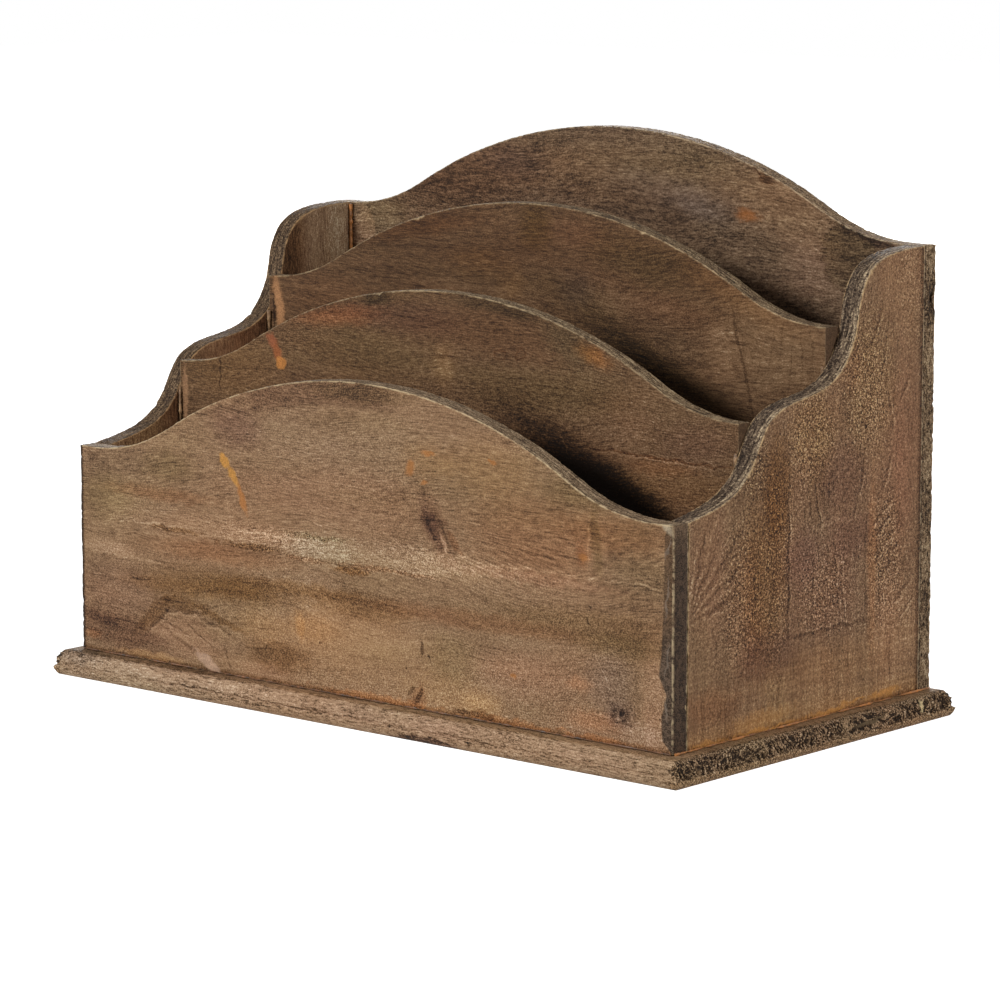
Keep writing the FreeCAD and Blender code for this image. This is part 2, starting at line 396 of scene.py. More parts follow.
class Finish:
    """The worn, stained surface of one board, built up mark by mark.

    light runs from 0, nearly black, to 1, bare pale wood, and hue is a tint over it.
    grain names the axes along, across and through the wood. A mark lies on one face,
    given as its axis and level, and its place and size are in millimetres there.
    """

    def __init__(self, name, grain, face, tones, light=0.5, edge=0.5, shift=0.0, ticks=1.3,
                 speckle=1.0, streaks=0.26, clouds=0.3, wrinkles=0.05,
                 tick_pitch=(0.30, 1.7, 1.7), speck_pitch=(1.5, 1.9, 1.9)):
        self.material = blank_material(name)
        self.tree = tree = self.material.node_tree
        self.face = face
        self.tones = tones
        self.here = millimetres(tree)
        self.place = parts_of(tree, self.here)
        axes = {i: self.place["XYZ".index(a)] for i, a in enumerate(grain)}
        straight = put(tree, "ShaderNodeCombineXYZ", axes)
        self.straight = straight = moved(tree, "ADD", straight, (shift, shift * 0.7, shift * 0.3))
        sway = mottle(tree, straight, (0.008, 0.02, 0.02))
        sway_reach, wobble_reach = 6.0, 2.5
        sway = span(tree, sway, 0.2, 0.8, -sway_reach, sway_reach, soft=True)
        grain = moved(tree, "ADD", straight, put(tree, "ShaderNodeCombineXYZ", {1: sway}))
        wobble = mottle(tree, self.here, 0.16, 3.0, 0.6, out=1)
        wobble = moved(tree, "MULTIPLY_ADD", wobble, 2 * wobble_reach)
        wobble.node.inputs[2].default_value = (-wobble_reach,) * 3
        self.wavy = moved(tree, "ADD", self.here, wobble)
        self.ragged = mottle(tree, straight, (0.35, 0.62, 0.62), 3.0, 0.68, lift=3.0)
        self.torn = self.swing(self.ragged)
        uneven = mottle(tree, straight, (0.014, 0.026, 0.026), lift=77.0)
        uneven = span(tree, uneven, 0.35, 0.65, soft=True)
        self.speckle = calc(tree, "MULTIPLY_ADD", uneven, speckle * 0.5, speckle * 0.75)
        self.hue = ramp(
            tree, mottle(tree, straight, (0.012, 0.036, 0.036), 2.0, lift=5.0),
            ((0.34, (0.985, 1.008, 0.965, 1.0)), (0.50, (1.0, 1.0, 1.0, 1.0)),
             (0.68, (1.035, 0.98, 0.955, 1.0))),
        )
        broad = mottle(tree, grain, (0.011, 0.045, 0.045), 3.0, 0.55, lift=21.0)
        streak = mottle(tree, grain, (0.022, 0.34, 0.34), 3.0, 0.62, lift=11.0)
        self.light = calc(tree, "MULTIPLY_ADD", broad, clouds, light - clouds / 2)
        self.light = calc(tree, "MULTIPLY_ADD", self.swing(streak), streaks, self.light)
        lines = mottle(tree, grain, (0.045, 1.2, 1.2), 1.0, lift=60.0)
        lines = span(tree, lines, 0.60, 0.74, soft=True)
        self.light = calc(tree, "MULTIPLY_ADD", lines, -0.13, self.light)
        folds = self.swing(mottle(tree, grain, (0.035, 0.13, 0.13), 2.0, 0.55, lift=33.0))
        folds = span(tree, calc(tree, "ABSOLUTE", folds), 0.016, 0.0, soft=True)
        self.light = calc(tree, "MULTIPLY_ADD", folds, -wrinkles, self.light)
        self.tick = self.swing(mottle(tree, grain, tick_pitch, 2.0, 0.6, lift=9.0))
        self.speck = self.swing(mottle(tree, straight, speck_pitch, 1.0, 0.6))
        self.light = calc(tree, "MULTIPLY_ADD", self.tick, ticks, self.light)
        self.height = 0.0
        self.edge = edge
        self.coats = []
        self.last_coats = []

    def swing(self, value):
        """A value around 0.5, moved down so that it swings round 0."""
        return calc(self.tree, "SUBTRACT", value, 0.5)

    def kept(self, label):
        """A number that each point of the board's mesh keeps."""
        return put(self.tree, "ShaderNodeAttribute", out=2, attribute_name=label)

    def between(self, value, start, full):
        """A mask: 0 up to start of a value, and 1 from full on."""
        return span(self.tree, value, start, full, soft=True)

    def beyond(self, axis, start, full):
        """The same along an axis of the rack, in millimetres."""
        return self.between(self.place[axis], start, full)

    def both(self, *masks):
        """A mask of what lies in all of some masks."""
        return times(self.tree, *masks)

    def away_from(self, value, level):
        """How far a value is from a level, either way."""
        return calc(self.tree, "ABSOLUTE", calc(self.tree, "SUBTRACT", value, level))

    def below_arch(self, crown):
        """How far a point lies below the arched top of the board, in millimetres."""
        x, _, z = parts_of(self.tree, self.wavy)
        fall = calc(self.tree, "MULTIPLY_ADD", self.both(x, x), -0.5 / CROWN_RADIUS, crown)
        return calc(self.tree, "SUBTRACT", fall, z)

    def patch(self, centre, size, lean=0.0, soft=0.9, ragged=0.3, depth=4.0, hollow=0.0,
              face=None):
        """A mask: 1 inside an oval on the face, 0 outside, with a torn edge.

        lean turns the oval anticlockwise as the face is looked at, and hollow keeps
        only a rim of it, as wide as that share of its size.
        """
        axis, level = face or self.face
        place, spread = list(centre), list(size)
        place.insert(axis, level)
        spread.insert(axis, depth)
        inputs = {
            "Place": self.wavy, "Centre": place, "Torn": self.torn, "Raggedness": 3 * ragged,
            "Outside": hollow or 1 + soft / 2, "Inside": 0.0 if hollow else 1 - soft / 2,
        }
        if lean:
            first, second = (i for i in range(3) if i != axis)
            turn = math.radians(lean)
            rows = np.eye(3)
            rows[first, [first, second]] = math.cos(turn), math.sin(turn)
            rows[second, [first, second]] = -math.sin(turn), math.cos(turn)
            for i in range(3):
                inputs["Row %d" % i] = rows[i] / spread[i]
        else:
            inputs["Size"] = spread
        return put(self.tree, "ShaderNodeGroup", inputs,
                   node_tree=OVALS[bool(lean), bool(hollow)])

    def shade(self, mask, light=0.0, hue=None, speckle=0.0, raised=0.0):
        """Makes the wood lighter, darker, tinted, coarser or raised where a mask is."""
        if light:
            self.light = calc(self.tree, "MULTIPLY_ADD", mask, light, self.light)
        if hue:
            self.hue = mixed(self.tree, mask, self.hue, (*hue, 1.0), "MULTIPLY")
        if speckle:
            self.speckle = calc(self.tree, "MULTIPLY_ADD", mask, speckle, self.speckle)
        if raised:
            self.height = calc(self.tree, "MULTIPLY_ADD", mask, raised, self.height)

    def mark(self, centre, size, light=0.0, hue=None, speckle=0.0, raised=0.0, **shape):
        """Shades an oval."""
        self.shade(self.patch(centre, size, **shape), light, hue, speckle, raised)

    def marks(self, columns, *rows, **same):
        """Many marks. A row is a place, a size and what columns names; same holds for all."""
        for centre, size, *rest in rows:
            self.mark(centre, size, **dict(zip(columns.split(), rest)), **same)

    def cut(self, mask, light):
        """Makes the sawn edge lighter or darker where a mask is."""
        self.edge = calc(self.tree, "MULTIPLY_ADD", mask, light, self.edge)

    def cover(self, mask, tint, dark=0.72, last=False):
        """Lays something opaque where a mask is; a last coat also hides the pale arris."""
        coats = self.last_coats if last else self.coats
        coats.append((mask, scaled_tint(tint, dark), tint))

    def coat(self, centre, size, tint, cover=1.0, raised=0.0, **shape):
        """Covers an oval."""
        mask = self.patch(centre, size, **shape)
        if raised:
            self.height = calc(self.tree, "MULTIPLY_ADD", mask, raised, self.height)
        self.cover(self.both(mask, cover), tint)

    def dry(self, worn_tone=None, worn_cover=0.8, arris_cover=0.7, rim=None, sawn=2.0,
            saw_pitch=(0.11, 1.0, 0.0), pit_light=-0.3, bump=0.5, rough=0.7):
        """Joins everything up and gives the finished material."""
        tree = self.tree
        pit, worn = self.kept("pit"), self.kept("worn")
        value = calc(tree, "MULTIPLY_ADD", self.speck, self.speckle, self.light)
        value = calc(tree, "MULTIPLY_ADD", pit, pit_light, value)
        tone = mixed(tree, 1.0, ramp(tree, value, self.tones), self.hue, "MULTIPLY")
        if rim:
            way = put(tree, "ShaderNodeCombineXYZ", {
                0: calc(tree, "DIVIDE", self.kept("along"), MM), 1: self.place[self.face[0]]
            })
            lengthwise = self.swing(mottle(tree, way, saw_pitch, 3.0, 0.65, lift=50.0))
            cracks = mottle(tree, way, (0.16, 1.5, 0.0), 2.0, 0.65, lift=80.0)
            edge = calc(tree, "MULTIPLY_ADD", lengthwise, sawn, self.edge)
            edge = calc(tree, "MULTIPLY_ADD", span(tree, cracks, 0.57, 0.68, soft=True), -0.4, edge)
            edge = calc(tree, "MULTIPLY_ADD", self.speck, 1.5, edge)
            edge = calc(tree, "MULTIPLY_ADD", pit, pit_light, edge)
            tone = mixed(tree, span(tree, self.kept("rim"), 0.4, 1.0, 0.0, 0.95), tone,
                         ramp(tree, edge, rim))
        grit = span(tree, calc(tree, "ADD", self.torn, self.speck), -0.09, 0.09)

        def laid(tone, coats):
            for mask, dark, pale in coats:
                tone = mixed(tree, mask, tone, mixed(tree, grit, dark, pale))
            return tone

        tone = laid(tone, self.coats)
        if worn_tone:
            rubbed = mottle(tree, self.straight, 0.13, 4.0, 0.68, lift=70.0)
            rubbed = span(tree, rubbed, 0.42, 0.56, 0.0, worn_cover)
            tone = mixed(tree, self.both(rubbed, worn), tone, worn_tone)
            line = span(tree, self.kept("arris"), 0.7 * MM, 0.2 * MM, 0.0, arris_cover)
            broken = span(tree, mottle(tree, self.here, 0.4, 3.0, 0.7, lift=90.0), 0.44, 0.56)
            tone = mixed(tree, self.both(line, broken), tone, worn_tone)
        tone = laid(tone, self.last_coats)
        height = calc(tree, "MULTIPLY_ADD", self.tick, 0.9, self.height)
        height = calc(tree, "MULTIPLY_ADD", self.speck, 0.9, height)
        normal = put(
            tree, "ShaderNodeBump", {"Strength": bump, "Distance": 0.5 * MM, "Height": height}
        )
        shader = put(
            tree, "ShaderNodeBsdfPrincipled",
            {"Base Color": tone, "Normal": normal,
             "Roughness": span(tree, self.tick, -0.25, 0.25, rough - 0.1, rough + 0.1),
             "Specular IOR Level": 0.12},
        )
        shown(tree, shader)
        return self.material


def scaled_tint(tint, by):
    return tuple(v * by for v in tint[:3]) + (1.0,)


def tones(*colours):
    """Five colours from the darkest to the palest, laid out evenly."""
    return [(i / (len(colours) - 1), colour(*c)) for i, c in enumerate(colours)]


WEAR = wear_tree()
low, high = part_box("base_board")
base_top = high.z / MM
ovolo_run, ovolo_step = 4.0, 0.6
groove_height, groove_depth, groove_half = 4.2, 0.9, 0.7
bead_undercut, bead_swell = 1.6, 0.4
tear_depth = 1.3


def moulding():
    """Rings of the base from its top face, round the nose, to its underside."""
    crest = ovolo_step + ovolo_run
    rings = [(inset, 0.0, 0.0) for inset in (14.0, 9.0, crest + 2.0, crest + 1.0, crest + 0.4)]
    drop = base_top - groove_height - groove_half
    for angle in np.linspace(0, 90, 12):
        turn = math.radians(angle)
        rings.append((crest - math.sin(turn) * ovolo_run, drop * (1 - math.cos(turn)), 1.0))
    middle = base_top - groove_height
    rings += [(ovolo_step + 0.1, middle - 0.45, 1.0), (groove_depth, middle - 0.15, 1.0),
              (groove_depth, middle + 0.15, 1.0), (0.35, middle + 0.5, 1.0)]
    lip = middle + groove_half
    for share in np.linspace(0, 1, 9)[1:]:
        out = bead_undercut * share - bead_swell * 4 * share * (1 - share)
        rings.append((max(out, 0.0), lip + (base_top - lip) * share, 0.35))
    rings += [(bead_undercut + extra, base_top, 0.0) for extra in (0.4, 1.2, 6.0)]
    return [(inset, -depth, rim) for inset, depth, rim in rings]


nose = anticlockwise(np.array([
    (low.x, low.y), (high.x, low.y), (high.x, high.y), (low.x, high.y)
]))


def torn(places, insets):
    """Grooves and ridges where the cutter tore the end grain, leaning every way."""
    x, y, z = (places[:, :, i] for i in range(3))
    depth = np.zeros_like(x)
    for centre, reach, lean, pitch in (
        (-74.0, 12.0, 48.0, 2.0), (-57.0, 10.0, -38.0, 2.2), (-42.0, 11.0, 74.0, 2.2),
        (-24.0, 9.0, 24.0, 2.6), (-10.0, 8.0, -12.0, 2.1), (5.0, 11.0, 8.0, 1.8),
        (34.0, 17.0, 84.0, 2.4), (58.0, 10.0, 34.0, 2.6), (72.0, 10.0, -30.0, 2.4),
        (82.0, 7.0, 60.0, 2.2),
    ):
        turn = math.radians(lean)
        wobble = 0.6 * np.sin(y * 0.9 + z * 0.7) + 0.5 * np.sin(y * 0.37 - z * 1.3)
        wobble += 0.2 * np.sin(y * 2.3 + z * 1.9)
        across = (y - centre) * math.cos(turn) + (z - 6.0) * math.sin(turn) + wobble
        groove = (1 - np.abs(np.sin(across * math.pi / pitch))) ** 1.1
        window = np.clip((reach - np.abs(y - centre)) / 3.0, 0, 1)
        depth = np.maximum(depth, groove * window)
    at_end = np.clip((np.abs(x) - high.x / MM + 4.5) / 1.5, 0, 1)
    band = np.clip((z - 2.9) / 0.7, 0, 1) * np.clip((9.7 - z) / 1.0, 0, 1)
    uneven = np.clip(0.85 + 0.5 * np.sin(y * 0.43 + z * 0.8) * np.sin(y * 0.17 + 2.0), 0.35, 1)
    return tear_depth * at_end * band * depth * uneven


# The two short ends take finer steps, for the torn grain there.
nose_sides = [
    (run, along, inwards, count if along[-1] > 0.2 else count * 3 // 2, turn)
    for run, along, inwards, count, turn in sides(nose, 0.55 * MM)
]
base = board("base", nose_sides, moulding(), 2, high.z, torn)
wood = Finish(
    "base wood", "XYZ", (1, low.y / MM),
    tones((34, 25, 18), (98, 75, 54), (160, 131, 103), (190, 160, 130), (226, 205, 178)),
    light=0.58, shift=300.0, ticks=1.2, speckle=1.15, streaks=0.5, clouds=0.14,
)
mark, marks, coat, shade = wood.mark, wood.marks, wood.coat, wood.shade
# Painted shade: darker over the top face and the top of the nose, the ledge that the boards stand
# on.
shade(wood.beyond(2, 9.4, 9.95), light=-0.15, hue=(1.03, 1, 0.92))
mark((-148, 9), (14, 3), light=-0.16, hue=ASHEN, soft=1.2, depth=12)
# Painted shade: two dark lines, one in the groove and one just below it.
mark((0, 4.7), (156, 0.4), light=-0.18, ragged=0.5, depth=3)
mark((0, 3.2), (156, 0.3), light=-0.13, ragged=0.6, depth=3)
# Painted shadow: a dark grey line on the top face along the foot of the front board.
mark((-92, 9.9), (54, 0.7), light=-0.12, hue=(0.98, 1, 1.04), depth=12, soft=0.6)
mark((-75, 4.6), (17, 0.5), light=-0.2, ragged=0.5, depth=30)
mark((40, 0.6), (15, 2.2), light=-0.36, hue=PURPLE, soft=0.4, depth=30)
mark((-40, 2.2), (110, 1.6), hue=(1, 1, 0.97), light=-0.05, depth=3)
marks(
    "light hue",
    ((70, 5), (70, 5), -0.05, PINKISH),
    ((-100, 5), (60, 5), 0.03, (0.98, 1, 1.02)),
    depth=6, soft=1.3,
)
for side in (-1, 1):
    end_grain = wood.beyond(0, side * (high.x / MM - 5), side * (high.x / MM - 2.5))
    shade(end_grain, light=-0.26, hue=(0.99, 1, 0.98), speckle=1)
    shade(wood.both(end_grain, wood.beyond(2, 3.6, 2.6)), light=0.12, hue=(1.06, 0.99, 0.88))
dent = wood.kept("dent")
ridge = wood.both(wood.between(dent, 0.3 * MM, 0.05 * MM), wood.between(wood.ragged, 0.36, 0.50))
in_band = wood.both(wood.beyond(2, 3.2, 4.2), wood.beyond(2, 9.4, 8.4))
outmost = wood.beyond(0, high.x / MM - 4, high.x / MM - 2.5)
shade(wood.both(in_band, outmost), light=-0.08)
shade(wood.both(ridge, in_band, outmost), light=0.25, hue=(1.02, 1, 0.96))
valley = wood.between(dent, 0.1 * MM, 0.8 * MM)
shade(valley, light=-0.14)
shade(wood.both(valley, outmost), light=-0.22, hue=(1.05, 0.98, 0.92))
coat((64.6, 6.8), (1, 1.9), colour(232, 208, 160), face=(0, high.x / MM))
coat((30, 6), (9, 0.9), colour(104, 86, 64), face=(0, high.x / MM), lean=4)
run_nodes(
    base, WEAR, rub=0.7 * MM, chip=0.8 * MM, pit=0.16 * MM, pit_size=1.1, end_pit=2.5,
    seed=4.0, material=wood.dry(
        worn_tone=colour(208, 184, 154), worn_cover=0.4, arris_cover=0.3, pit_light=-0.07
    ),
)
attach(base, "root")
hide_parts("base_board")


# ==================================================================== front board
# The lowest of four thin boards with an arched top, bandsawn, stained brown and
# rubbed through at the arris. Its right end was bevelled off with a knife.

def read_outline(node, axis, side):
    """Outline of a CAD board's lowest (-1) or highest (1) flat face along an axis."""
    bm = bmesh.new()
    bm.from_mesh(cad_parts[node].data)
    bmesh.ops.remove_doubles(bm, verts=bm.verts, dist=1e-6)
    level = side * max(side * v.co[axis] for v in bm.verts)
    flat = {f for f in bm.faces if all(abs(v.co[axis] - level) < 1e-6 for v in f.verts)}
    edges = [e for e in bm.edges if sum(f in flat for f in e.link_faces) == 1]
    beside = {}
    for edge in edges:
        a, b = edge.verts
        beside.setdefault(a, []).append(b)
        beside.setdefault(b, []).append(a)
    first = edges[0].verts[0]
    walk = [first, beside[first][0]]
    while walk[-1] != first:
        walk.append(next(v for v in beside[walk[-1]] if v != walk[-2]))
    plane = [i for i in range(3) if i != axis]
    points = np.array([[v.co[i] for i in plane] for v in walk[:-1]])
    bm.free()
    return anticlockwise(points)


def thin_rings(thickness, insets):
    """Rings of a thin board: flat face, eased arris, sawn edge, arris, flat face."""
    ease = 0.3
    near = [(inset, 0.0, 0.0) for inset in insets]
    for angle in (0, 30, 60, 90):
        turn = math.radians(angle)
        near.append((ease * (1 - math.sin(turn)), ease * (1 - math.cos(turn)), angle / 90))
    half = thickness / 2
    near += [(0.0, depth, 1.0) for depth in np.linspace(0.6, half, 6)[:-1]]
    far = [(inset, thickness - depth, rim) for inset, depth, rim in near]
    return near + [(0.0, half, 1.0)] + far[::-1]


def thin_board(name, node, axis, side, finish, seed, rub=0.7, chip=0.9, pit=0.3,
               end_pit=0.0, dent=None, insets=(5.5, 4.0, 2.8, 2.0, 1.4, 0.9, 0.55)):
    """A thin board, made from its CAD node's own outline and thickness."""
    low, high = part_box(node)
    rings = thin_rings((high[axis] - low[axis]) / MM, insets)
    rings = [(inset, -side * depth, rim) for inset, depth, rim in rings]
    level = high[axis] if side > 0 else low[axis]
    outline = sides(read_outline(node, axis, side), 0.8 * MM)
    piece = board(name, outline, rings, axis, level, dent)
    run_nodes(
        piece, WEAR, rub=rub * MM, chip=chip * MM, pit=pit * MM, pit_size=1.3,
        end_pit=end_pit, seed=seed, material=finish,
    )
    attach(piece, "root")
    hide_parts(node)
    return piece


low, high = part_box("front_board")
front_face = low.y / MM
end = high.x / MM
# How wide the bevel at the right end is, from the foot of the board to its shoulder.
bevel = ((10.6, 0.5), (15.0, 5.4), (23.0, 5.8), (31.0, 3.2), (38.0, 7.2), (46.0, 5.9),
         (62.0, 5.2), (88.0, 4.6), (92.0, 3.0))
bevel_depth = 1.0


def bevelled(places, insets):
    """Sinks the front face towards its right end, and nicks the arris of its left end."""
    z = places[:, :, 2]
    nicks = np.clip(np.sin(z * 1.1) + np.sin(z * 2.3 + 1) + 0.6 * np.sin(z * 0.5) - 0.9, 0, 1)
    nicks *= 0.45 * np.clip((-149.3 - places[:, :, 0]) / 0.5, 0, 1)
    wide = np.interp(places[:, :, 2], *zip(*bevel))
    share = np.clip(1 - (end - places[:, :, 0]) / wide, 0, 1)
    on_face = places[:, :, 1] < front_face + 0.5
    return np.maximum(bevel_depth * share * on_face, nicks)


wood = Finish(
    "front board wood", "XZY", (1, front_face),
    tones((30, 20, 14), (84, 61, 43), (137, 106, 78), (177, 145, 112), (224, 199, 168)),
    light=0.47, ticks=0.85, speckle=0.75, streaks=0.24, clouds=0.16, wrinkles=0.04,
    tick_pitch=(0.20, 2.0, 2.0), speck_pitch=(1.9, 2.1, 2.1),
)
mark, marks, coat, shade = wood.mark, wood.marks, wood.coat, wood.shade
# Broad tones that run into each other: grey under the arch, pink and tan lower down.
marks(
    "light hue",
    ((-15, 107), (48, 10), 0.01, (0.98, 1, 1.04)),
    ((-64, 107), (12, 7), -0.1, PURPLE),
    ((-100, 88), (14, 5), -0.07, OLIVE),
    ((-128, 88), (20, 7), -0.05, (0.98, 1, 1.03)),
    ((-105, 77), (26, 2.5), -0.04, REDDISH),
    ((-8, 86), (42, 9), 0.03, PINKISH),
    ((66, 104), (18, 10), 0.02, TAN),
    ((88, 82), (30, 13), -0.05, REDDISH),
    ((108, 99), (16, 5), -0.1, OLIVE),
    ((126, 86), (24, 6), -0.05, REDDISH),
    ((-136, 72), (14, 9), 0.02, OLIVE),
    ((-136, 53), (15, 2.6), 0.15, (1.01, 0.99, 1)),
    ((-128, 36), (20, 10), -0.02, (1, 0.97, 1.02)),
    ((-72, 57), (34, 4), -0.04, REDDISH),
    ((-70, 45), (36, 5), -0.11, BROWN),
    ((-64, 44.6), (17, 4), -0.09, BROWN),
    ((-100, 41), (22, 3), -0.05, BROWN),
    ((1, 45.4), (21, 4.6), -0.15, BROWN),
    ((-28, 48.5), (24, 2.4), -0.08, BROWN),
    ((56, 47), (46, 3.2), -0.08, REDDISH),
    ((112, 51.5), (34, 6), -0.09, (1.03, 1, 0.9)),
    ((128, 46), (20, 4), -0.05, OLIVE),
    ((-6, 31), (40, 12), 0.11, TAN),
    ((-24, 34), (12, 5), 0.02, (1.06, 1, 0.9)),
    ((-52, 31), (12, 6), 0.04, TAN),
    ((44, 18), (20, 7), 0.07, TAN),
    ((46, 31), (12, 8), -0.02, OLIVE),
    ((86, 30), (26, 9), 0.04, PINKISH),
    ((122, 32), (10, 10), -0.03, SOOTY),
    ((141, 28), (4.5, 22), 0.1, PINKISH),
    ((-50, 13), (12, 4), 0.03, PINKISH),
    ((-42, 21), (14, 5), -0.17, BROWN),
    ((136, 62), (13, 34), -0.06, (1, 1, 0.97)),
    ((112, 16), (18, 5), 0.05, PINKISH),
    ((36, 104), (12, 6), 0.02, TAN),
    ((4, 14), (96, 5), 0.06, (1, 1, 0.98)),
    ((61, 16), (9, 5), 0.05, TAN),
    ((-142, 77), (9, 13), -0.11, (0.99, 1, 1.01)),
    ((-141, 46), (9, 9), -0.05, (0.99, 1, 1.01)),
    ((-60, 15), (9, 4), 0.06, (1, 1, 0.98)),
    ((62, 16), (9, 5), 0.05, (1, 1, 0.98)),
    ((-20, 45), (12, 4), 0.05, (1.01, 1, 0.98)),
    ((22, 46), (12, 4), 0.06, (1.01, 1, 0.98)),
    ((-120, 57), (9, 4), -0.04, (1.01, 1, 0.98)),
    ((-34, 54), (16, 4.5), 0.06, (0.99, 1, 1.01)),
    ((80, 44), (14, 5), 0.05, (0.98, 1, 1)),
    ((20, 80), (11, 10), -0.05, (1.02, 1, 0.99)),
    ((-12, 114), (18, 5), -0.05, (1.01, 1, 0.99)),
    ((-92, 79), (9, 8), -0.03),
    ((128, 69), (22, 7), -0.04, (0.97, 1, 1.01)),
    ((-84, 24), (9, 5), -0.04),
    soft=1.3, ragged=0.2,
)
mark((-8, 30), (40, 11), speckle=-0.25, soft=1.3)
# Below the bleached band the face was sanded, so it is gritty and shows less grain.
sanded = wood.beyond(2, 62, 50)
shade(wood.both(sanded, wood.tick), light=-0.45)
shade(sanded, speckle=0.3)
# A stain that soaked in along the arch and dried with a dark lower edge.
below = wood.below_arch(129.5)
soaked = wood.patch((-20, 121), (37, 16), soft=0.5)
shade(wood.both(wood.between(below, 10, 7), soaked), light=-0.16, hue=(1, 0.97, 1))
tide = wood.away_from(below, 9)
shade(wood.both(wood.between(tide, 1.2, 0), soaked), light=-0.08)
mark((0, 125.5), (22, 3.2), light=-0.1, hue=OLIVE, speckle=0.3, soft=1.3, ragged=0.4)
mark((-71, 113.5), (16, 0.7), light=-0.1, lean=19)
# The dark foot on the left, under a stain's edge, and the line round the torn grain.
marks(
    "light hue lean",
    ((-130, 19.5), (24, 5.6), -0.15, (1.03, 0.96, 0.96), -5),
    ((-140, 24), (11, 1.8), -0.14, (1, 0.97, 1), -12),
    ((-124, 16), (28, 7), -0.03, (0.98, 0.99, 1.02)),
    ((-132, 26), (17, 3), -0.06, (1, 0.98, 0.98), -8),
    ((-144, 17), (5, 2), 0.06, (1.12, 0.96, 0.84)),
    ((-112, 12.4), (18, 1.4), 0.14, (1.08, 0.99, 0.82)),
)
marks(
    "light hue lean",
    ((-109, 29.5), (11, 3), -0.14, BROWN, 38),
    ((-94, 35), (12, 2.8), -0.15, BROWN),
    ((-74, 31.5), (13, 1.6), -0.13, BROWN, -16),
    ragged=0.5,
)
mark((-92, 22), (18, 8), light=0.06, hue=PINKISH)
for place, size, lean in (
    ((-107, 27), (9, 0.7), 40), ((-93, 31.8), (11, 0.7), 2),
    ((-76, 28.6), (12, 0.6), -18), ((-97, 25.4), (7, 0.5), -20),
    ((-84, 23.6), (8, 0.5), -30), ((-70, 18), (0.6, 6), 22),
):
    mark(place, size, light=-0.15, lean=lean, raised=-0.5)
    mark((place[0], place[1] - 1.2), size, light=0.08, lean=lean)
mark((-40, 18), (13, 8), light=-0.06, hollow=0.08)
coat((-79.5, 13.4), (8, 2.3), colour(206, 170, 142), lean=-28, soft=0.6, cover=0.85)
marks(
    "light lean",
    ((-92, 20.6), (12, 0.7), 0.1, -24),
    ((-91, 18.8), (14, 0.9), -0.14, -26),
)
# The bleached band, with its fuzz of raised fibres and its dark lower line.
marks(
    "light hue speckle",
    ((-80, 67), (40, 4.4), 0.05, (1.01, 1, 1), 0.2),
    ((-54, 66), (18, 4.6), 0.06, (1.01, 1, 1), 0.6),
    ((-19, 64.6), (16, 6), 0.13, (0.97, 1.03, 1.06), 0.55),
    ((-32, 65), (16, 4.8), 0.05, (1.01, 1, 1), 0.5),
    ((20, 65.4), (30, 6.2), 0.11, (1, 1, 1.02), 0.5),
    ((48, 65.6), (24, 4.8), 0.08, (1.02, 1, 0.97), 0.2),
    ((86, 66), (36, 2.2), 0.05, PINKISH, 0.1),
    soft=1, ragged=0.5,
)
marks(
    "light hue",
    ((-98, 63.6), (13, 0.9), -0.13, BROWN),
    ((-56, 61.6), (15, 1.3), -0.18, BROWN),
    ((-19, 69), (15, 1.1), -0.13, OLIVE),
    ((-5, 58.6), (8, 1.3), -0.18, ORANGE),
    ((-26, 59.8), (12, 1), -0.08, REDDISH),
    ((14, 60.6), (22, 0.8), -0.07, REDDISH),
    speckle=0.8, soft=1, ragged=0.8,
)
marks(
    "light hue lean",
    ((-116, 49.8), (22, 0.5), 0.12, None, -2),
    ((-102.6, 64), (2.6, 1), -0.16, None, -15),
    ((-30.4, 34), (2.2, 5.8), 0.03, (1.07, 0.99, 0.86)),
)
# Two knots: one sliced lengthwise and one end on, with its hole.
mark((39, 79), (12, 5.4), light=-0.11, hue=(1.02, 0.96, 0.96), lean=-62, soft=1.3)
mark((36.6, 80), (8, 3), light=-0.15, hue=PURPLE, lean=-60, soft=1, ragged=0.6)
mark((36.2, 79), (5.5, 1), light=-0.16, lean=-57, raised=-0.6, ragged=0.5)
mark((42.5, 78), (8, 0.5), light=-0.14, lean=-60, ragged=0.4)
mark((48, 74), (5, 1.2), light=-0.08, hue=REDDISH, lean=-50, soft=1)
mark((42.6, 74), (3.6, 0.7), light=0.34, lean=-60, ragged=0.4)
mark((125.9, 21.6), (5.8, 4.6), light=-0.13, hue=SOOTY, soft=1.2)
mark((125.9, 21.6), (3, 2.3), light=-0.14, hollow=0.45, raised=-0.5)
mark((126.8, 22.4), (1.3, 1), light=-0.4, raised=-1.6)
marks(
    "light lean",
    ((125, 20.8), (0.9, 0.7), 0.2),
    ((128.6, 19.4), (3.4, 0.6), -0.2, -30),
)
# Dried glue that ran down, in drips and specks.
amber, rust = colour(208, 150, 76), colour(184, 122, 68)
coat((-69.6, 93.6), (2.8, 2.1), amber, lean=-60, cover=0.95, raised=0.5, soft=0.6)
coat((-65.2, 87.6), (4.8, 1.7), amber, lean=-52, cover=0.9, raised=0.4, soft=0.8)
coat((-60.6, 80), (5.4, 1.4), rust, lean=-70, cover=0.85, raised=0.4, soft=0.9)
for place, size in (
    ((34.9, 106.2), (3.2, 0.8)), ((26, 100.2), (1.8, 2.6)), ((32.4, 95.6), (1.6, 0.8)),
    ((65.9, 106.3), (1.6, 0.7)), ((108.6, 76), (1.6, 1.3)), ((76, 29), (1.4, 1)),
):
    coat(place, size, rust, cover=0.8, soft=1, ragged=0.3)
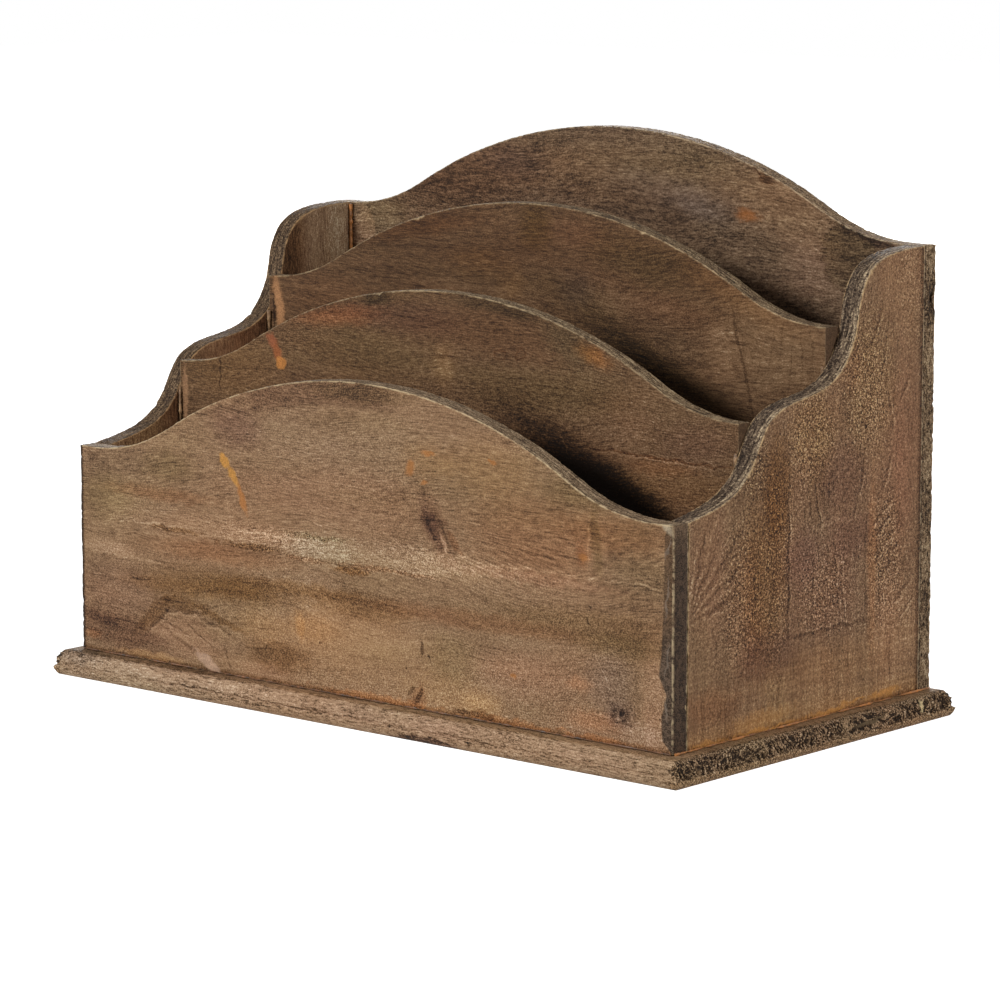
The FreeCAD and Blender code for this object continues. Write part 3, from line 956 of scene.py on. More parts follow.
# Small dark flecks and nicks, then pale scratches.
marks(
    "lean",
    ((111.5, 53.3), (1.6, 0.6), -40), ((31.1, 34.2), (0.8, 2.6), 4), ((35, 30.4), (0.5, 1.6), 30),
    ((30, 15), (1.4, 3.4), -28), ((52, 12.6), (4, 0.9), -4), ((24, 25.4), (0.5, 0.7)),
    ((62, 12.2), (5.5, 1.3), -6), ((145.7, 23.6), (0.6, 0.6)), ((112, 59), (0.9, 0.7), 20),
    ((-20, 29), (0.7, 0.5)), ((26, 17), (3, 0.8), 50), ((-118, 42), (5, 0.4)),
    light=-0.28, raised=-0.7, ragged=0.5, soft=0.8,
)
marks(
    "lean",
    ((95, 69), (48, 0.35), 0.3), ((137.5, 69.2), (7, 0.5), -3), ((121.9, 85.1), (0.8, 0.5)),
    ((118, 36), (9, 0.25), -62), ((104, 14), (6, 0.3), -70), ((-20, 74.5), (9, 0.3)),
    ((-40, 67.4), (28, 0.4), 0.5), ((111, 82), (0.3, 9), -3), ((-118, 64.5), (20, 0.4), 2),
    light=0.16,
)
mark((114.6, 82), (2.6, 11), light=-0.06, hue=OLIVE, lean=8)
for place, size in (((107, 30), (5.4, 2.8)), ((114, 18.1), (10, 3.6)),
                    ((108.6, 77), (3, 4))):
    mark(place, size, hue=(1.09, 0.95, 0.86), light=0.04, soft=1.2)
# The foot: glue and dirt along the joint, and a dark left arris.
front_foot = wood.beyond(2, 12.6, 10.4)
shade(wood.both(front_foot, wood.ragged), light=-0.45, hue=ORANGE)
for place, size in (((9, 11.4), (26, 1.6)), ((74, 11.4), (18, 1.8)),
                    ((116, 11.2), (16, 1.2))):
    mark(place, size, light=0.06, hue=(1.16, 0.94, 0.76), soft=1, ragged=0.9)
mark((136, 15), (10, 5), light=0.09, hue=(0.97, 1, 1.06), soft=1.2)
mark((30, 15), (3.6, 4.6), light=-0.1, hue=(1.06, 0.96, 0.92), lean=-30)
shade(wood.beyond(0, -147.6, -149), light=-0.34)
wood.cover(wood.beyond(0, -148.5, -149.1), colour(66, 50, 39), dark=0.4, last=True)
# The bevel and the end grain beside it are bare, dark and dirty; their arrises are pale.
cut_away = wood.between(wood.kept("dent"), 0.02 * MM, 0.16 * MM)
bevel_line = wood.between(wood.away_from(wood.kept("dent"), 0.04 * MM), 0.08 * MM, 0.0)
shade(wood.both(bevel_line, wood.ragged), light=0.24)
wood.cover(wood.both(cut_away, 0.85), colour(108, 84, 63), dark=0.4)
wood.cover(wood.both(cut_away, wood.beyond(2, 62, 44)), colour(106, 87, 71), dark=0.3)
wood.cover(wood.beyond(0, 149.5, 149.85), colour(84, 66, 52), dark=0.22)
wood.cover(wood.both(wood.beyond(0, 149.5, 149.85),
                                 wood.beyond(2, 80, 94)), colour(118, 95, 74), dark=0.4)
for level, reach, lean in ((84, 4, 78), (66, 7, 86), (44, 6, 82), (26, 4, 88)):
    coat((146.8, level), (reach, 0.35), colour(150, 134, 118), lean=lean, cover=0.5)
coat((146.4, 90.6), (3, 1.4), colour(188, 170, 142), lean=-48, cover=0.85)
front = thin_board(
    "front", "front_board", 1, -1,
    wood.dry(
        worn_tone=colour(216, 192, 152), arris_cover=0.75,
        rim=tones((36, 28, 21), (88, 70, 53), (134, 112, 88), (170, 148, 118), (208, 188, 156)),
    ),
    11.0, dent=bevelled,
    insets=(10.5, 8.6, 7.6, 6.8, 6.0, 5.2, 4.4, 3.6, 2.8, 2.0, 1.4, 0.9, 0.55),
)


# ==================================================================== dividers
# Two thinner arched boards that part the pockets. They are stained dark and red, and
# butted and glued between the sides.
divider_tones = tones((24, 15, 10), (64, 44, 29), (108, 80, 56), (146, 114, 84), (204, 178, 146))
divider_rim = tones((34, 26, 19), (84, 66, 48), (130, 109, 83), (168, 147, 116), (208, 188, 154))
low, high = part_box("front_divider")
wood = Finish(
    "front divider wood", "XZY", (1, low.y / MM), divider_tones, light=0.45, shift=140.0,
    ticks=0.85, speckle=0.7, streaks=0.28, clouds=0.26,
)
mark, marks, coat, shade = wood.mark, wood.marks, wood.coat, wood.shade
coat((-90, 134), (3.6, 1.7), colour(164, 98, 66), lean=-50, cover=0.85, raised=0.5, ragged=0.5)
coat((-86.6, 129), (3.8, 1.9), colour(170, 100, 60), lean=-70, cover=0.85, raised=0.6, ragged=0.5)
coat((-85, 125.8), (2.6, 2.2), colour(206, 138, 74), cover=0.9, raised=0.6, soft=0.5)
marks(
    "light hue lean",
    ((-55, 146), (20, 3.6), 0.05, (1.22, 0.92, 0.8), 7),
    ((0, 131), (5.5, 7), 0.13, TAN),
    ((-40, 133), (40, 10), 0.01, OLIVE),
    ((-20, 148), (26, 6), -0.04, PURPLE),
    ((74, 141), (8, 3.4), 0.09, (1.26, 0.95, 0.64), -20),
    ((62, 145), (12, 7), -0.03, (0.9, 1.03, 1.04), -30),
    ((56, 126), (36, 8), -0.04, OLIVE),
    ((92, 122), (12, 9), 0.05, PINKISH),
    ((122, 112), (16, 7), -0.02, PURPLE),
    ((106, 103), (14, 3), 0.06, (1.1, 0.95, 0.86)),
    ((114, 96), (30, 7), 0.05, TAN),
    # Rows at (68, 101), (92, 90), (66, 96) and (78, 92) are painted shadow: they darken the
    # pocket's low right part, where the front board's arch casts its shadow.
    ((68, 101), (26, 6), -0.14, (1, 1, 0.96), -26),
    ((92, 90), (18, 7), -0.16, OLIVE, -26),
    ((98, 124), (48, 18), 0.11, (0.97, 1, 1), -16),
    ((66, 96), (14, 5), -0.12, OLIVE, -20),
    ((78, 92), (46, 9), -0.34, (1, 1, 0.97), -26),
    ((74, 115), (34, 5.5), 0.06, (1, 1, 1.02), -22),
    ((10, 134), (46, 8), 0.07, (0.99, 1, 1.02)),
    ((-62, 127), (30, 5), 0.05),
    ((122, 140), (22, 12), 0.06, (0.98, 1, 1.02), -20),
    ((-112, 122), (24, 12), 0.07, TAN),
    soft=1.4,
)
damp = wood.between(wood.below_arch(159.5), 5.5, 3)
for place in ((-34, 156), (28, 156)):
    patch = wood.patch(place, (6 if place[0] < 0 else 20, 8))
    shade(wood.both(damp, patch), light=-0.15, hue=(0.94, 1.03, 1.02))
marks(
    "light hue lean",
    ((104, 106.2), (37, 0.5), -0.17, REDDISH, -1),
    ((104, 105.3), (37, 0.4), 0.12, None, -1),
    ((-118.2, 119), (0.4, 9), -0.24),
)
for place in ((28.5, 138), (38.5, 138.5)):
    mark(place, (2.4, 1.8), light=-0.12, hue=REDDISH, hollow=0.3)
marks(
    "lean",
    ((60, 107), (6, 0.3), -60),
    ((-96, 118), (8, 0.3), 20),
    light=0.16,
)
coat((-138.7, 109), (1.2, 12), colour(176, 134, 98), cover=0.65, ragged=0.5)
wood.cover(wood.beyond(0, 140.8, 141.3), colour(92, 70, 51), 0.6, last=True)
divider = thin_board(
    "divider_front", "front_divider", 1, -1,
    wood.dry(worn_tone=colour(206, 180, 140), arris_cover=0.45, rim=divider_rim), 23.0,
)

low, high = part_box("rear_divider")
wood = Finish(
    "rear divider wood", "XZY", (1, low.y / MM), divider_tones, light=0.44, edge=0.44,
    shift=420.0, ticks=0.8, speckle=0.6, streaks=0.28, clouds=0.24,
)
mark, marks, coat = wood.mark, wood.marks, wood.coat
marks(
    "light hue lean",
    ((-58, 177), (26, 4), -0.08, REDDISH, 10),
    ((2, 181), (7, 8), -0.07, (1.02, 1, 0.8)),
    ((22, 179), (13, 5), 0.04, PINKISH),
    ((-28, 165), (14, 5), 0.03, TAN),
    ((-10, 158), (6, 6), 0.07, TAN),
    ((54, 171), (24, 8), -0.06, OLIVE, -12),
    ((22, 158), (8, 6), -0.06, SOOTY),
    ((60, 154), (34, 7), 0.05, PINKISH, -14),
    ((94, 140), (6, 9), 0.12, None, 12),
    ((118, 144), (26, 22), 0.16, (0.97, 1, 1)),
    # Rows at (70, 120) and (58, 134) are painted shadow, low in the pocket where the front
    # divider's arch casts its shadow.
    ((70, 120), (50, 11), -0.16, OLIVE, -28),
    ((-40, 157), (18, 6), 0.06),
    ((36, 155), (16, 6), 0.06, (0.97, 1, 1.02)),
    ((-108, 146), (26, 6), 0.05, (1.03, 1, 0.98)),
    ((72, 142), (14, 6), 0.04, (0.97, 1, 1.02), -20),
    ((58, 134), (26, 5), -0.12, OLIVE, -26),
    ((80, 158), (44, 12), 0.05, (1, 1, 0.98), -24),
    ((100, 162), (30, 6), 0.03, TAN, -22),
    soft=1.4,
)
mark((103, 136), (0.7, 19), light=-0.2, lean=14)
for step in range(6):
    mark((112 + 4.6 * step, 138 + 3 * (step % 3)), (0.35, 9), light=-0.1,
         lean=-16 + 4 * step, ragged=0.4)
coat((-135.8, 141), (2.1, 11), colour(194, 142, 98), cover=0.85, lean=8, ragged=0.5)
mark((-138.2, 142), (0.8, 12), light=-0.3)
wood.cover(wood.beyond(0, 140.8, 141.3), colour(92, 70, 52), 0.6, last=True)
divider = thin_board(
    "divider_rear", "rear_divider", 1, -1,
    wood.dry(worn_tone=colour(206, 180, 140), arris_cover=0.45, rim=divider_rim), 37.0,
)


# ==================================================================== back board
# The tallest arched board. It closes the back and covers the ends of the sides. Its right
# end shows: it is rough and notched where the saw went across the grain.
low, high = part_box("back_board")
wood = Finish(
    "back board wood", "XZY", (1, low.y / MM),
    tones((26, 18, 13), (68, 51, 38), (116, 91, 70), (156, 130, 104), (210, 188, 158)),
    light=0.44, shift=610.0, ticks=1.0, speckle=0.7, streaks=0.3, clouds=0.2,
)
mark, marks, coat, shade = wood.mark, wood.marks, wood.coat, wood.shade
marks(
    "light hue lean",
    ((-76, 192), (42, 12), -0.06, REDDISH, 12),
    ((16, 205), (44, 9), 0.03, (0.98, 1.02, 1.02)),
    ((-50, 200), (14, 5), -0.05, SOOTY),
    ((30, 192), (30, 6), 0.01, SOOTY, -8),
    ((84, 190), (30, 13), 0.16, TAN, -18),
    ((10, 200), (50, 12), 0.04, TAN),
    ((44, 186), (14, 5), 0.06, ASHEN, -18),
    ((98, 168), (14, 9), 0.12, PINKISH, -20),
    ((-122, 174), (12, 8), 0.02, OLIVE),
    ((-80, 173), (34, 5), -0.03, (1.03, 1, 1)),
    ((29, 181), (10, 5), -0.04, (1.03, 1, 1)),
    ((110, 158), (10, 5), 0.06),
    soft=1.4,
)
mark((75.6, 200.6), (3.4, 2.4), light=-0.22, hue=REDDISH, raised=-0.6, ragged=0.5)
mark((69, 205), (8, 0.5), light=-0.22, hue=REDDISH, lean=-38)
coat((67, 185.4), (5, 2.4), colour(172, 108, 58), cover=0.75, soft=1.2, ragged=0.5)
mark((115, 173), (12, 13), light=-0.12, hue=OLIVE, soft=0.3)
mark((115, 173), (12.4, 13.4), light=-0.16, hollow=0.07)
mark((124, 181), (12, 2.6), light=-0.2, hue=PURPLE, lean=-14, soft=0.8)
mark((-134, 168), (6, 10), light=0.16, hue=(1.06, 0.98, 0.94), soft=0.4)
mark((-120, 172), (6, 9), light=0.06, lean=20, soft=0.6)
# The rear face: clouded, with two knots, the rim of an old wet patch and long scratches.
behind = (1, high.y / MM)
marks(
    "light hue lean",
    ((-84, 152), (56, 13), 0.07, TAN, 4),
    ((66, 124), (54, 12), -0.08, REDDISH, -3),
    ((-36, 84), (76, 9), 0.1, PINKISH),
    ((96, 62), (40, 15), -0.09, OLIVE),
    ((-10, 26), (130, 8), -0.09, BROWN),
    ((-112, 52), (26, 17), -0.08, PURPLE),
    ((24, 186), (56, 9), -0.08, SOOTY, -4),
    ((40, 152), (30, 7), 0.08, ASHEN),
    ((-62, 118), (12, 6), -0.14, PURPLE),
    ((50, 44), (9, 5.5), -0.14, REDDISH),
    soft=1.4, face=behind,
)
for place, size in (((-62, 118), (4.5, 2.8)), ((50, 44), (3.4, 2.4))):
    mark(place, size, light=-0.22, raised=-0.8, face=behind)
    mark(place, (size[0] * 1.8, size[1] * 1.8), light=-0.14, hollow=0.2, face=behind)
mark((64, 92), (38, 22), light=-0.12, hollow=0.05, face=behind)
mark((64, 92), (36, 20), light=0.04, hue=PINKISH, soft=0.3, face=behind)
marks(
    "lean",
    ((-20, 140), (44, 0.5), 2),
    ((30, 68), (0.5, 18), -24),
    ((-100, 92), (22, 0.5), -6),
    ((104, 146), (0.5, 14), 36),
    ((-30, 60), (26, 0.5), 1),
    light=0.18, raised=-0.5, face=behind,
)
shade(wood.both(wood.beyond(1, behind[1] - 1, behind[1] - 0.5), wood.beyond(2, 13.5, 10.6),
                wood.ragged), light=-0.4, hue=ORANGE)
# The right end, on its sawn edge.
on_end = (0, high.x / MM)
right_end = wood.beyond(0, 149.2, 149.7)
shade(right_end, speckle=0.9)
wood.cut(right_end, 0.03)
# Painted shadow: the end darkens where it meets the right side, along the joint.
wood.cut(wood.both(right_end, wood.beyond(1, 73.4, 72.2)), -0.5)
wood.cut(wood.patch((76, 190), (4, 17), face=on_end), 0.2)
for level, light in (
    (22, 0.12), (44, -0.14), (60, 0.1), (78, -0.14), (96, 0.12), (116, -0.1), (134, 0.14),
    (158, -0.35),
):
    wood.cut(wood.patch((77, level), (3, 7), face=on_end, ragged=1), light)


def notched(places, insets):
    """Tears out of the right end, where the saw went across the grain."""
    x, y, z = (places[:, :, i] for i in range(3))
    wave = np.sin(z * 0.9) + np.sin(z * 1.7 + 1.3) + 0.8 * np.sin(z * 0.37 + 0.5)
    rough = np.clip(wave - 0.6, 0, None) * 0.45
    deep = 1.9 * np.exp(-(((z - 158.6) / 2.2) ** 2))
    at_end = np.clip((x - (high.x / MM - 0.6)) / 0.4, 0, 1)
    return (rough + deep) * at_end * np.clip((y - low.y / MM - 3.0) / 3.0, 0, 1)


back = thin_board(
    "back", "back_board", 1, 1,
    wood.dry(
        worn_tone=colour(204, 180, 146), pit_light=-0.16, sawn=1.5, saw_pitch=(0.3, 0.8, 0.0),
        rim=tones((30, 22, 15), (84, 65, 47), (134, 109, 83), (168, 145, 114), (210, 190, 158)),
    ),
    51.0, pit=0.3, end_pit=2.2, dent=notched,
)


# ==================================================================== sides
# Two boards with the grain upright, whose front edge is cut in scrolls that step down
# from shoulder to shoulder. They are glued and pinned between the front and the back.
side_tones = tones((29, 19, 13), (77, 55, 38), (121, 91, 67), (160, 129, 97), (213, 188, 155))
side_rim = tones((28, 21, 16), (70, 57, 46), (112, 95, 78), (154, 134, 108), (212, 190, 156))


def stipple(wood, ovals, light, ground=0.0, coarse=0.0, face=None):
    """Stain that dried in beads in some ovals: raised pale dots on a darker ground."""
    area = 0.0
    for centre, size in ovals:
        area = calc(wood.tree, "MAXIMUM", wood.patch(centre, size, soft=1.2, face=face), area)
    dots = mottle(wood.tree, wood.straight, (1.35, 1.15, 1.15), 1.0, lift=44.0)
    wood.shade(area, light=ground, speckle=coarse)
    dots = span(wood.tree, dots, 0.54, 0.64)
    wood.shade(wood.both(area, dots), light=light, hue=(1.06, 1, 0.86), raised=0.8)


low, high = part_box("right_side")
wood = Finish(
    "right side wood", "ZYX", (0, high.x / MM), side_tones, light=0.525, edge=0.41, shift=830.0,
    ticks=0.8, speckle=1.0, clouds=0.12, streaks=0.2, wrinkles=0.08, tick_pitch=(0.85, 1.1, 1.1),
    speck_pitch=(1.7, 1.3, 1.3),
)
mark, marks, coat, shade = wood.mark, wood.marks, wood.coat, wood.shade
# Broad tones: warm brown low in the front, purple where the stain is thick, tan at the foot.
marks(
    "light hue",
    ((-17, 98), (7, 17), -0.16, (1.1, 0.98, 0.78)),
    ((-24, 66), (11, 30), -0.08, (1.08, 0.99, 0.84)),
    ((-22, 38), (14, 8), -0.09, PURPLE),
    ((-57, 74), (9, 26), 0.04, (1.04, 0.96, 0.96)),
    ((22, 98), (13, 12), -0.07, (1, 0.94, 1)),
    ((-2, 71), (9, 10), -0.05, (1, 0.95, 1.02)),
    ((28, 76), (12, 8), -0.08, (1, 0.95, 1)),
    ((12, 61), (26, 21), -0.01, (0.99, 0.97, 1.04)),
    ((4, 116), (13, 16), 0.05, TAN),
    ((38, 130), (15, 24), 0.03, (1, 1, 0.93)),
    ((41, 62), (2.6, 30), 0.04, (1.1, 0.98, 0.88)),
    ((57, 34), (15, 18), 0.09, (1.04, 0.98, 0.95)),
    ((58, 166), (14, 18), 0.06, (1.04, 0.98, 0.94)),
    ((62, 106), (8, 40), 0.03, (1.04, 0.95, 0.96)),
    ((-55, 24), (14, 6), -0.04, REDDISH),
    ((10, 27), (34, 9), 0.05, (1.04, 0.99, 0.92)),
    ((20, 15), (52, 6), 0.07, (0.99, 1, 1)),
    ((-20, 33), (24, 6), -0.05),
    ((12, 122), (18, 8), -0.06, (1.02, 1, 1)),
    ((3, 98), (10, 12), -0.04, (1.04, 0.99, 0.99)),
    ((27, 138), (6, 9), -0.06, (1.06, 0.99, 0.97)),
    ((-36, 58), (10, 24), -0.03, (1.07, 0.99, 0.96)),
    ((50, 88), (13, 46), 0.01, (1.07, 0.98, 0.98)),
    ((14, 58), (14, 14), 0, (1.04, 0.99, 0.97)),
    ((-38, 104), (14, 10), -0.05),
    soft=1.1,
)
# Stippled where the stain dried in beads: pale dots over pits.
stipple(wood, (
    ((-35, 66), (14, 24)), ((-18, 72), (9, 36)), ((2, 114), (13, 16)), ((10, 58), (16, 14)),
    ((36, 132), (14, 26)), ((50, 66), (9, 22)), ((-30, 106), (9, 11)),
), light=0.33, ground=-0.08, coarse=0.9)
# Painted shadow: darker along the back of the face, next to the back board, along the joint.
shade(wood.beyond(1, 68.5, 71), light=-0.26)
marks(
    "light",
    ((-10.4, 74), (0.7, 30), -0.24), ((-9.2, 74), (0.6, 30), 0.14), ((26, 82.4), (16, 0.7), 0.1),
    ((14, 42.6), (25, 0.8), -0.18), ((14, 44), (25, 0.6), 0.1), ((36.6, 62), (0.6, 20), -0.14),
    ((36, 115), (0.6, 1.8), -0.3),
)
# Raised, cracked lines: a pale ridge with a dark line beside it.
for place, size, lean in (
    ((19, 60), (0.7, 17), 9), ((22.4, 60), (0.5, 16), 9),
    ((47, 82), (7, 0.7), 34), ((46, 76), (6, 0.7), 38),
    ((48, 69), (6, 0.6), 42), ((50, 60), (6, 0.7), 30),
    ((60, 50), (7, 0.7), 40), ((63, 44), (6, 0.6), 46),
    ((34, 98), (0.7, 10), -12), ((7, 88), (0.6, 9), 16),
    ((60, 126), (5, 0.7), 56), ((50, 96), (0.7, 7), -24),
    ((41.5, 150), (0.7, 8), -30), ((47, 138), (0.6, 9), -14),
    ((52, 118), (0.7, 8), 12), ((30, 86), (0.6, 6), -20),
):
    mark(place, size, light=-0.17, lean=lean, raised=-0.6)
    mark((place[0] + 0.9, place[1] - 0.7), size, light=0.15, lean=lean, raised=0.4)
for step in range(11):
    lean = 12.0 + 7.0 * step
    reach = 18.0 + 4.0 * (step % 3)
    way = math.radians(lean)
    mark((-69.0 + reach * math.sin(way) * 0.9, 55.0 + reach * math.cos(way)), (0.6, reach * 0.8),
         light=-0.15 if step % 2 else 0.12, lean=-lean, raised=0.4)
# Saw marks across the foot, crossed by faint upright ones.
sawn = wood.beyond(2, 42, 34)
for pitch in ((0.05, 0.05, 1.0), (0.05, 0.9, 0.05)):
    lines = mottle(wood.tree, wood.here, pitch, 2.0, lift=31.0)
    lines = span(wood.tree, lines, 0.35, 0.65, -1.0, 1.0, soft=True)
    shade(wood.both(sawn, lines), light=0.045)
shade(sawn, light=0.02, hue=(1.01, 1, 0.98), speckle=-0.5)
# Glue wiped along the foot, from a brown haze to thin amber lumps.
shade(wood.beyond(2, 22, 11), light=0.04, hue=(1.08, 0.99, 0.84))
shade(wood.both(wood.beyond(2, 12.6, 10.6), wood.ragged), light=-0.4, hue=ORANGE)
for place, size, lean, cover in (
    ((-26, 15), (16, 3.4), 4, 0.30), ((-22, 11.2), (17, 0.8), 0, 0.8),
    ((16, 11.6), (12, 0.9), 1, 0.8), ((30, 13), (9, 0.6), 3, 0.7),
    ((50, 13), (9, 1.5), 3, 0.8), ((-56, 11.4), (10, 1), 0, 0.6),
):
    coat(place, size, colour(204, 144, 78), lean=lean, cover=cover, soft=1.2, ragged=0.9,
         raised=0.6)
# The scroll was trimmed to a paler strip along its outer arris; the rest is dark and gritty.
wood.cut(wood.beyond(0, 146.4, 148.2), 0.22)
wood.cut(wood.beyond(0, 146, 144), -0.06)
right = thin_board(
    "side_right", "right_side", 0, 1,
    wood.dry(worn_tone=colour(206, 174, 130), rim=side_rim, pit_light=-0.22, bump=0.7),
    73.0, rub=0.8, chip=1.2, pit=0.6,
)

low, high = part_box("left_side")
wood = Finish(
    "left side wood", "ZYX", (0, high.x / MM), side_tones, light=0.5, edge=0.44, shift=1030.0,
    ticks=0.8, speckle=0.7, wrinkles=0.08,
)
marks, shade = wood.marks, wood.shade
marks(
    "light hue",
    ((66, 176), (7, 30), 0.22, (0.93, 1.01, 1.08)),
    ((50, 178), (10, 26), 0.12, (0.96, 1, 1.04)),
    ((36, 170), (7, 34), -0.22, BROWN),
    ((-6, 120), (16, 18), 0.08, REDDISH),
    ((44, 198), (10, 9), -0.16, BROWN),
    ((14, 138), (14, 22), -0.16, REDDISH),
    ((-30, 110), (8, 20), -0.16, REDDISH),
    ((-50, 96), (14, 12), 0.05, BROWN),
    soft=1.3,
)
# Its outer face: brown and tan in upright bands, beaded stain, cracks and a dirty foot.
outer = (0, low.x / MM)
marks(
    "light hue lean",
    ((-34, 62), (18, 34), -0.08, BROWN),
    ((26, 104), (14, 50), 0.07, TAN),
    ((56, 72), (13, 44), -0.05, PURPLE),
    ((52, 150), (16, 30), 0.06, PINKISH),
    ((-4, 74), (12, 30), -0.07, PURPLE),
    ((0, 26), (64, 8), 0.05, TAN),
    ((-2, 40), (60, 0.8), -0.16),
    ((10, 96), (0.7, 30), -0.18, None, 3),
    ((40, 60), (0.6, 24), -0.16, None, -5),
    ((-26, 74), (6, 0.7), -0.18, None, 36),
    ((-30, 66), (7, 0.7), -0.18, None, 32),
    ((54, 132), (0.7, 10), 0.18, None, 20),
    soft=1.2, face=outer,
)
stipple(wood, (((-30, 66), (16, 30)), ((34, 110), (16, 34))), light=0.28, face=outer)
foot = wood.both(wood.beyond(0, outer[1] + 1, outer[1] + 0.5), wood.beyond(2, 14, 10.6))
shade(wood.both(foot, wood.ragged), light=-0.35, hue=ORANGE)
left = thin_board(
    "side_left", "left_side", 0, -1,
    wood.dry(
        worn_tone=colour(178, 142, 100), pit_light=-0.22, sawn=1.3,
        rim=tones((28, 21, 15), (66, 51, 38), (104, 84, 64), (144, 120, 92), (196, 170, 132)),
    ),
    61.0, rub=0.8, chip=1.1, pit=0.5,
)


# ==================================================================== glue beads
# Hide-coloured glue that squeezed out along the joints and dried in broken beads:
# round the foot of the box, and up the corners inside.

def bead_tree():
    """Geometry Nodes that lay an uneven, broken bead along a line of edges."""
    tree, given, here = shape_tree("glue bead", "Radius", "Step", "Break", "Seed")
    path = put(tree, "GeometryNodeMeshToCurve", {"Mesh": given["Geometry"]})
    resample = tree.nodes.new("GeometryNodeResampleCurve")
    resample.mode = "LENGTH"
    tree.links.new(path, resample.inputs["Curve"])
    tree.links.new(given["Step"], resample.inputs["Length"])
    full = mottle(tree, here, 0.09, 3.0, 0.7)
    full = span(tree, calc(tree, "SUBTRACT", full, given["Break"]), -0.05, 0.14, 0.08, 1.0)
    lumps = span(tree, mottle(tree, here, 0.55, 2.0, 0.6, lift=5.0), 0.3, 0.7, 0.55, 1.0)
    radius = times(tree, full, lumps, given["Radius"])
    profile = put(tree, "GeometryNodeCurvePrimitiveCircle", {"Resolution": 8, "Radius": 1.0})
    tube = put(
        tree, "GeometryNodeCurveToMesh",
        {"Curve": resample.outputs[0], "Profile Curve": profile, "Scale": radius,
         "Fill Caps": True},
    )
    return end_tree(tree, given, put(tree, "GeometryNodeSetShadeSmooth", {"Geometry": tube}))


def dried_glue(name, tint, dark):
    material = blank_material(name)
    tree = material.node_tree
    here = millimetres(tree)
    clouds = mottle(tree, here, 0.35, 4.0, 0.7)
    grit = mottle(tree, here, 1.6, 2.0, 0.6, lift=8.0)
    tone = mixed(tree, span(tree, clouds, 0.35, 0.62), dark, tint)
    shader = put(
        tree, "ShaderNodeBsdfPrincipled",
        {"Base Color": mixed(tree, span(tree, grit, 0.5, 0.8, 0.0, 0.6), tone,
                             scaled_tint(dark, 0.6)),
         "Roughness": span(tree, clouds, 0.3, 0.7, 0.35, 0.55),
         "Normal": put(tree, "ShaderNodeBump",
                       {"Strength": 0.4, "Distance": 0.4 * MM, "Height": grit})},
    )
    shown(tree, shader)
    return material


BEAD = bead_tree()
orange_glue = dried_glue("orange glue", colour(196, 128, 66), colour(120, 80, 48))
dirty_glue = dried_glue("dirty glue", colour(138, 92, 56), colour(58, 45, 34))
pale_glue = dried_glue("pale glue", colour(176, 140, 100), colour(104, 78, 56))


def bead(name, node, start, end, radius, glue, gap=0.5, seed=0.0):
    mesh = bpy.data.meshes.new(name)
    mesh.from_pydata([start, end], [(0, 1)], [])
    piece = placed(name, mesh)
    run_nodes(piece, BEAD, radius=radius, step=0.7 * MM, seed=seed, material=glue,
              **{"break": gap})
    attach(piece, "root")
    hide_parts(node)


for count, (node, glue) in enumerate((
    ("glue_foot_front", dirty_glue), ("glue_foot_back", orange_glue),
    ("glue_foot_left", orange_glue), ("glue_foot_right", orange_glue),
    ("glue_front_divider_left", pale_glue), ("glue_front_divider_right", pale_glue),
    ("glue_rear_divider_left", pale_glue), ("glue_rear_divider_right", pale_glue),
    ("glue_back_corner_left", orange_glue), ("glue_back_corner_right", orange_glue),
)):
    low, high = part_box(node)
    size = high - low
    axis = max(range(3), key=lambda i: size[i])
    leg = min(size[i] for i in range(3) if i != axis)
    middle = (low + high) / 2
    start, end_point = middle.copy(), middle.copy()
    start[axis], end_point[axis] = low[axis] + leg / 2, high[axis] - leg / 2
    bead(node.replace("glue_", "bead_"), node, start, end_point, leg * 0.55, glue,
         gap=0.47 if "foot" in node else 0.36, seed=40.0 * count)


# ==================================================================== pins
# Steel pins with small heads, punched in under the face, which hold the joints while
# the glue dries. They have rusted. Their solids already have the right shape.
steel = blank_material("rusted steel")
tree = steel.node_tree
here = millimetres(tree)
rusted = span(tree, mottle(tree, here, 0.9, 4.0, 0.7), 0.42, 0.58)
shader = put(
    tree, "ShaderNodeBsdfPrincipled",
    {"Base Color": mixed(tree, rusted, colour(120, 116, 110), colour(74, 50, 36)),
     "Metallic": span(tree, rusted, 0.0, 1.0, 1.0, 0.0),
     "Roughness": span(tree, rusted, 0.0, 1.0, 0.42, 0.8)},
)
shown(tree, shader)
for node in ("front_pins", "back_pins", "divider_pins", "base_pins"):
    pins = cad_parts[node].data
    pins.materials.clear()
    pins.materials.append(steel)


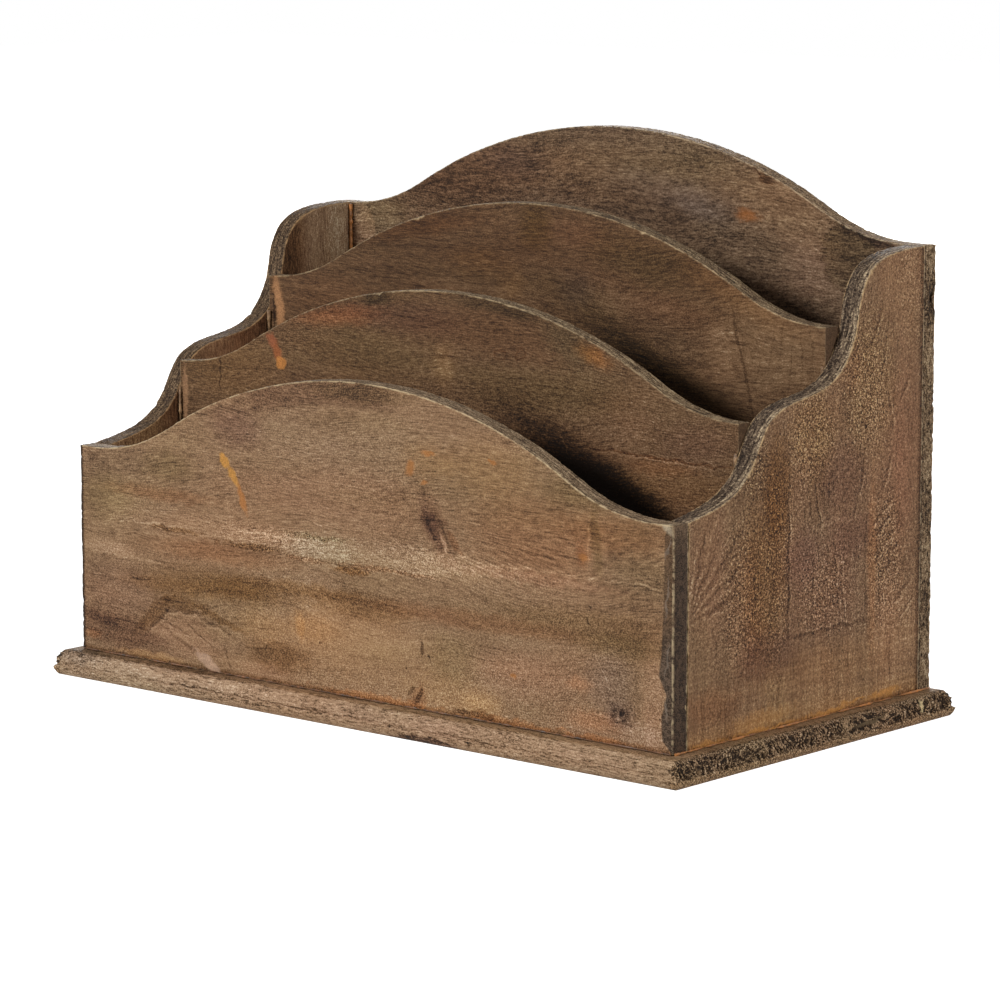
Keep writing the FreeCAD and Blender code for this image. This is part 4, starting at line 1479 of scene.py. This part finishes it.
# ==================================================================== floor
# A wide, flat sheet of white card under the rack. It shows as plain white but still takes
# the rack's shadow.
def in_view(tree):
    """1 where a ray shows what the eye, a polished piece or glass would see, else 0."""
    rays = tree.nodes.new("ShaderNodeLightPath").outputs
    seen = calc(tree, "MAXIMUM", rays["Is Camera Ray"], rays["Is Glossy Ray"])
    return calc(tree, "MAXIMUM", seen, rays["Is Transmission Ray"])


reach = 4.0
floor_glow, floor_paint = 0.95, 0.62
floor_mesh = bpy.data.meshes.new("floor")
floor_mesh.from_pydata(
    [(-reach, -reach, 0), (reach, -reach, 0), (reach, reach, 0), (-reach, reach, 0)], [],
    [(0, 1, 2, 3)],
)
floor = placed("floor", floor_mesh)
white = blank_material("floor white")
tree = white.node_tree
glow = calc(tree, "MULTIPLY", in_view(tree), floor_glow)
glow = put(tree, "ShaderNodeEmission", {"Strength": glow})
matt = put(tree, "ShaderNodeBsdfDiffuse", {"Color": (floor_paint,) * 3 + (1.0,)})
shown(tree, put(tree, "ShaderNodeAddShader", {0: glow, 1: matt}))
floor_mesh.materials.append(white)


# ==================================================================== light and camera
# A dim white room, a lamp low at the front left, a broader one at the right, and a soft
# one behind that lights only the back and the left side.
room_light = 0.10
aim = Vector((0.0, 0.0, 0.08))
world = bpy.data.worlds.new("studio")
bpy.context.scene.world = world
world.use_nodes = True
tree = world.node_tree
tree.nodes.clear()
strength = span(tree, in_view(tree), 0.0, 1.0, room_light, 1.0)
shown(tree, put(tree, "ShaderNodeBackground", {"Color": (1.0,) * 4, "Strength": strength}))


def lamp(name, place, size, power):
    """A round lamp, aimed at the middle of the rack; metres and watts."""
    data = bpy.data.lights.new(name, "AREA")
    data.shape = "DISK"
    data.size = size
    data.energy = power
    thing = placed(name, data)
    thing.location = place
    thing.rotation_euler = (thing.location - aim).to_track_quat("Z", "Y").to_euler()


lamp("key", (-0.516, -1.926, 1.01), 0.42, 33.0)
lamp("fill", (1.81, 0.0, 0.925), 0.8, 20.0)
lamp("back", (-1.3, 1.6, 0.6), 0.8, 26.0)

camera_data = bpy.data.cameras.new("camera")
camera_data.lens = 148.24
camera_data.sensor_width = 36.0
camera = placed("camera", camera_data)
camera.location = (1.02946, -1.18407, 0.32641)
camera.rotation_euler = (math.radians(90 - 9.056), 0.0, math.radians(40.911))
bpy.context.scene.camera = camera
bpy.context.scene.view_settings.view_transform = "Standard"
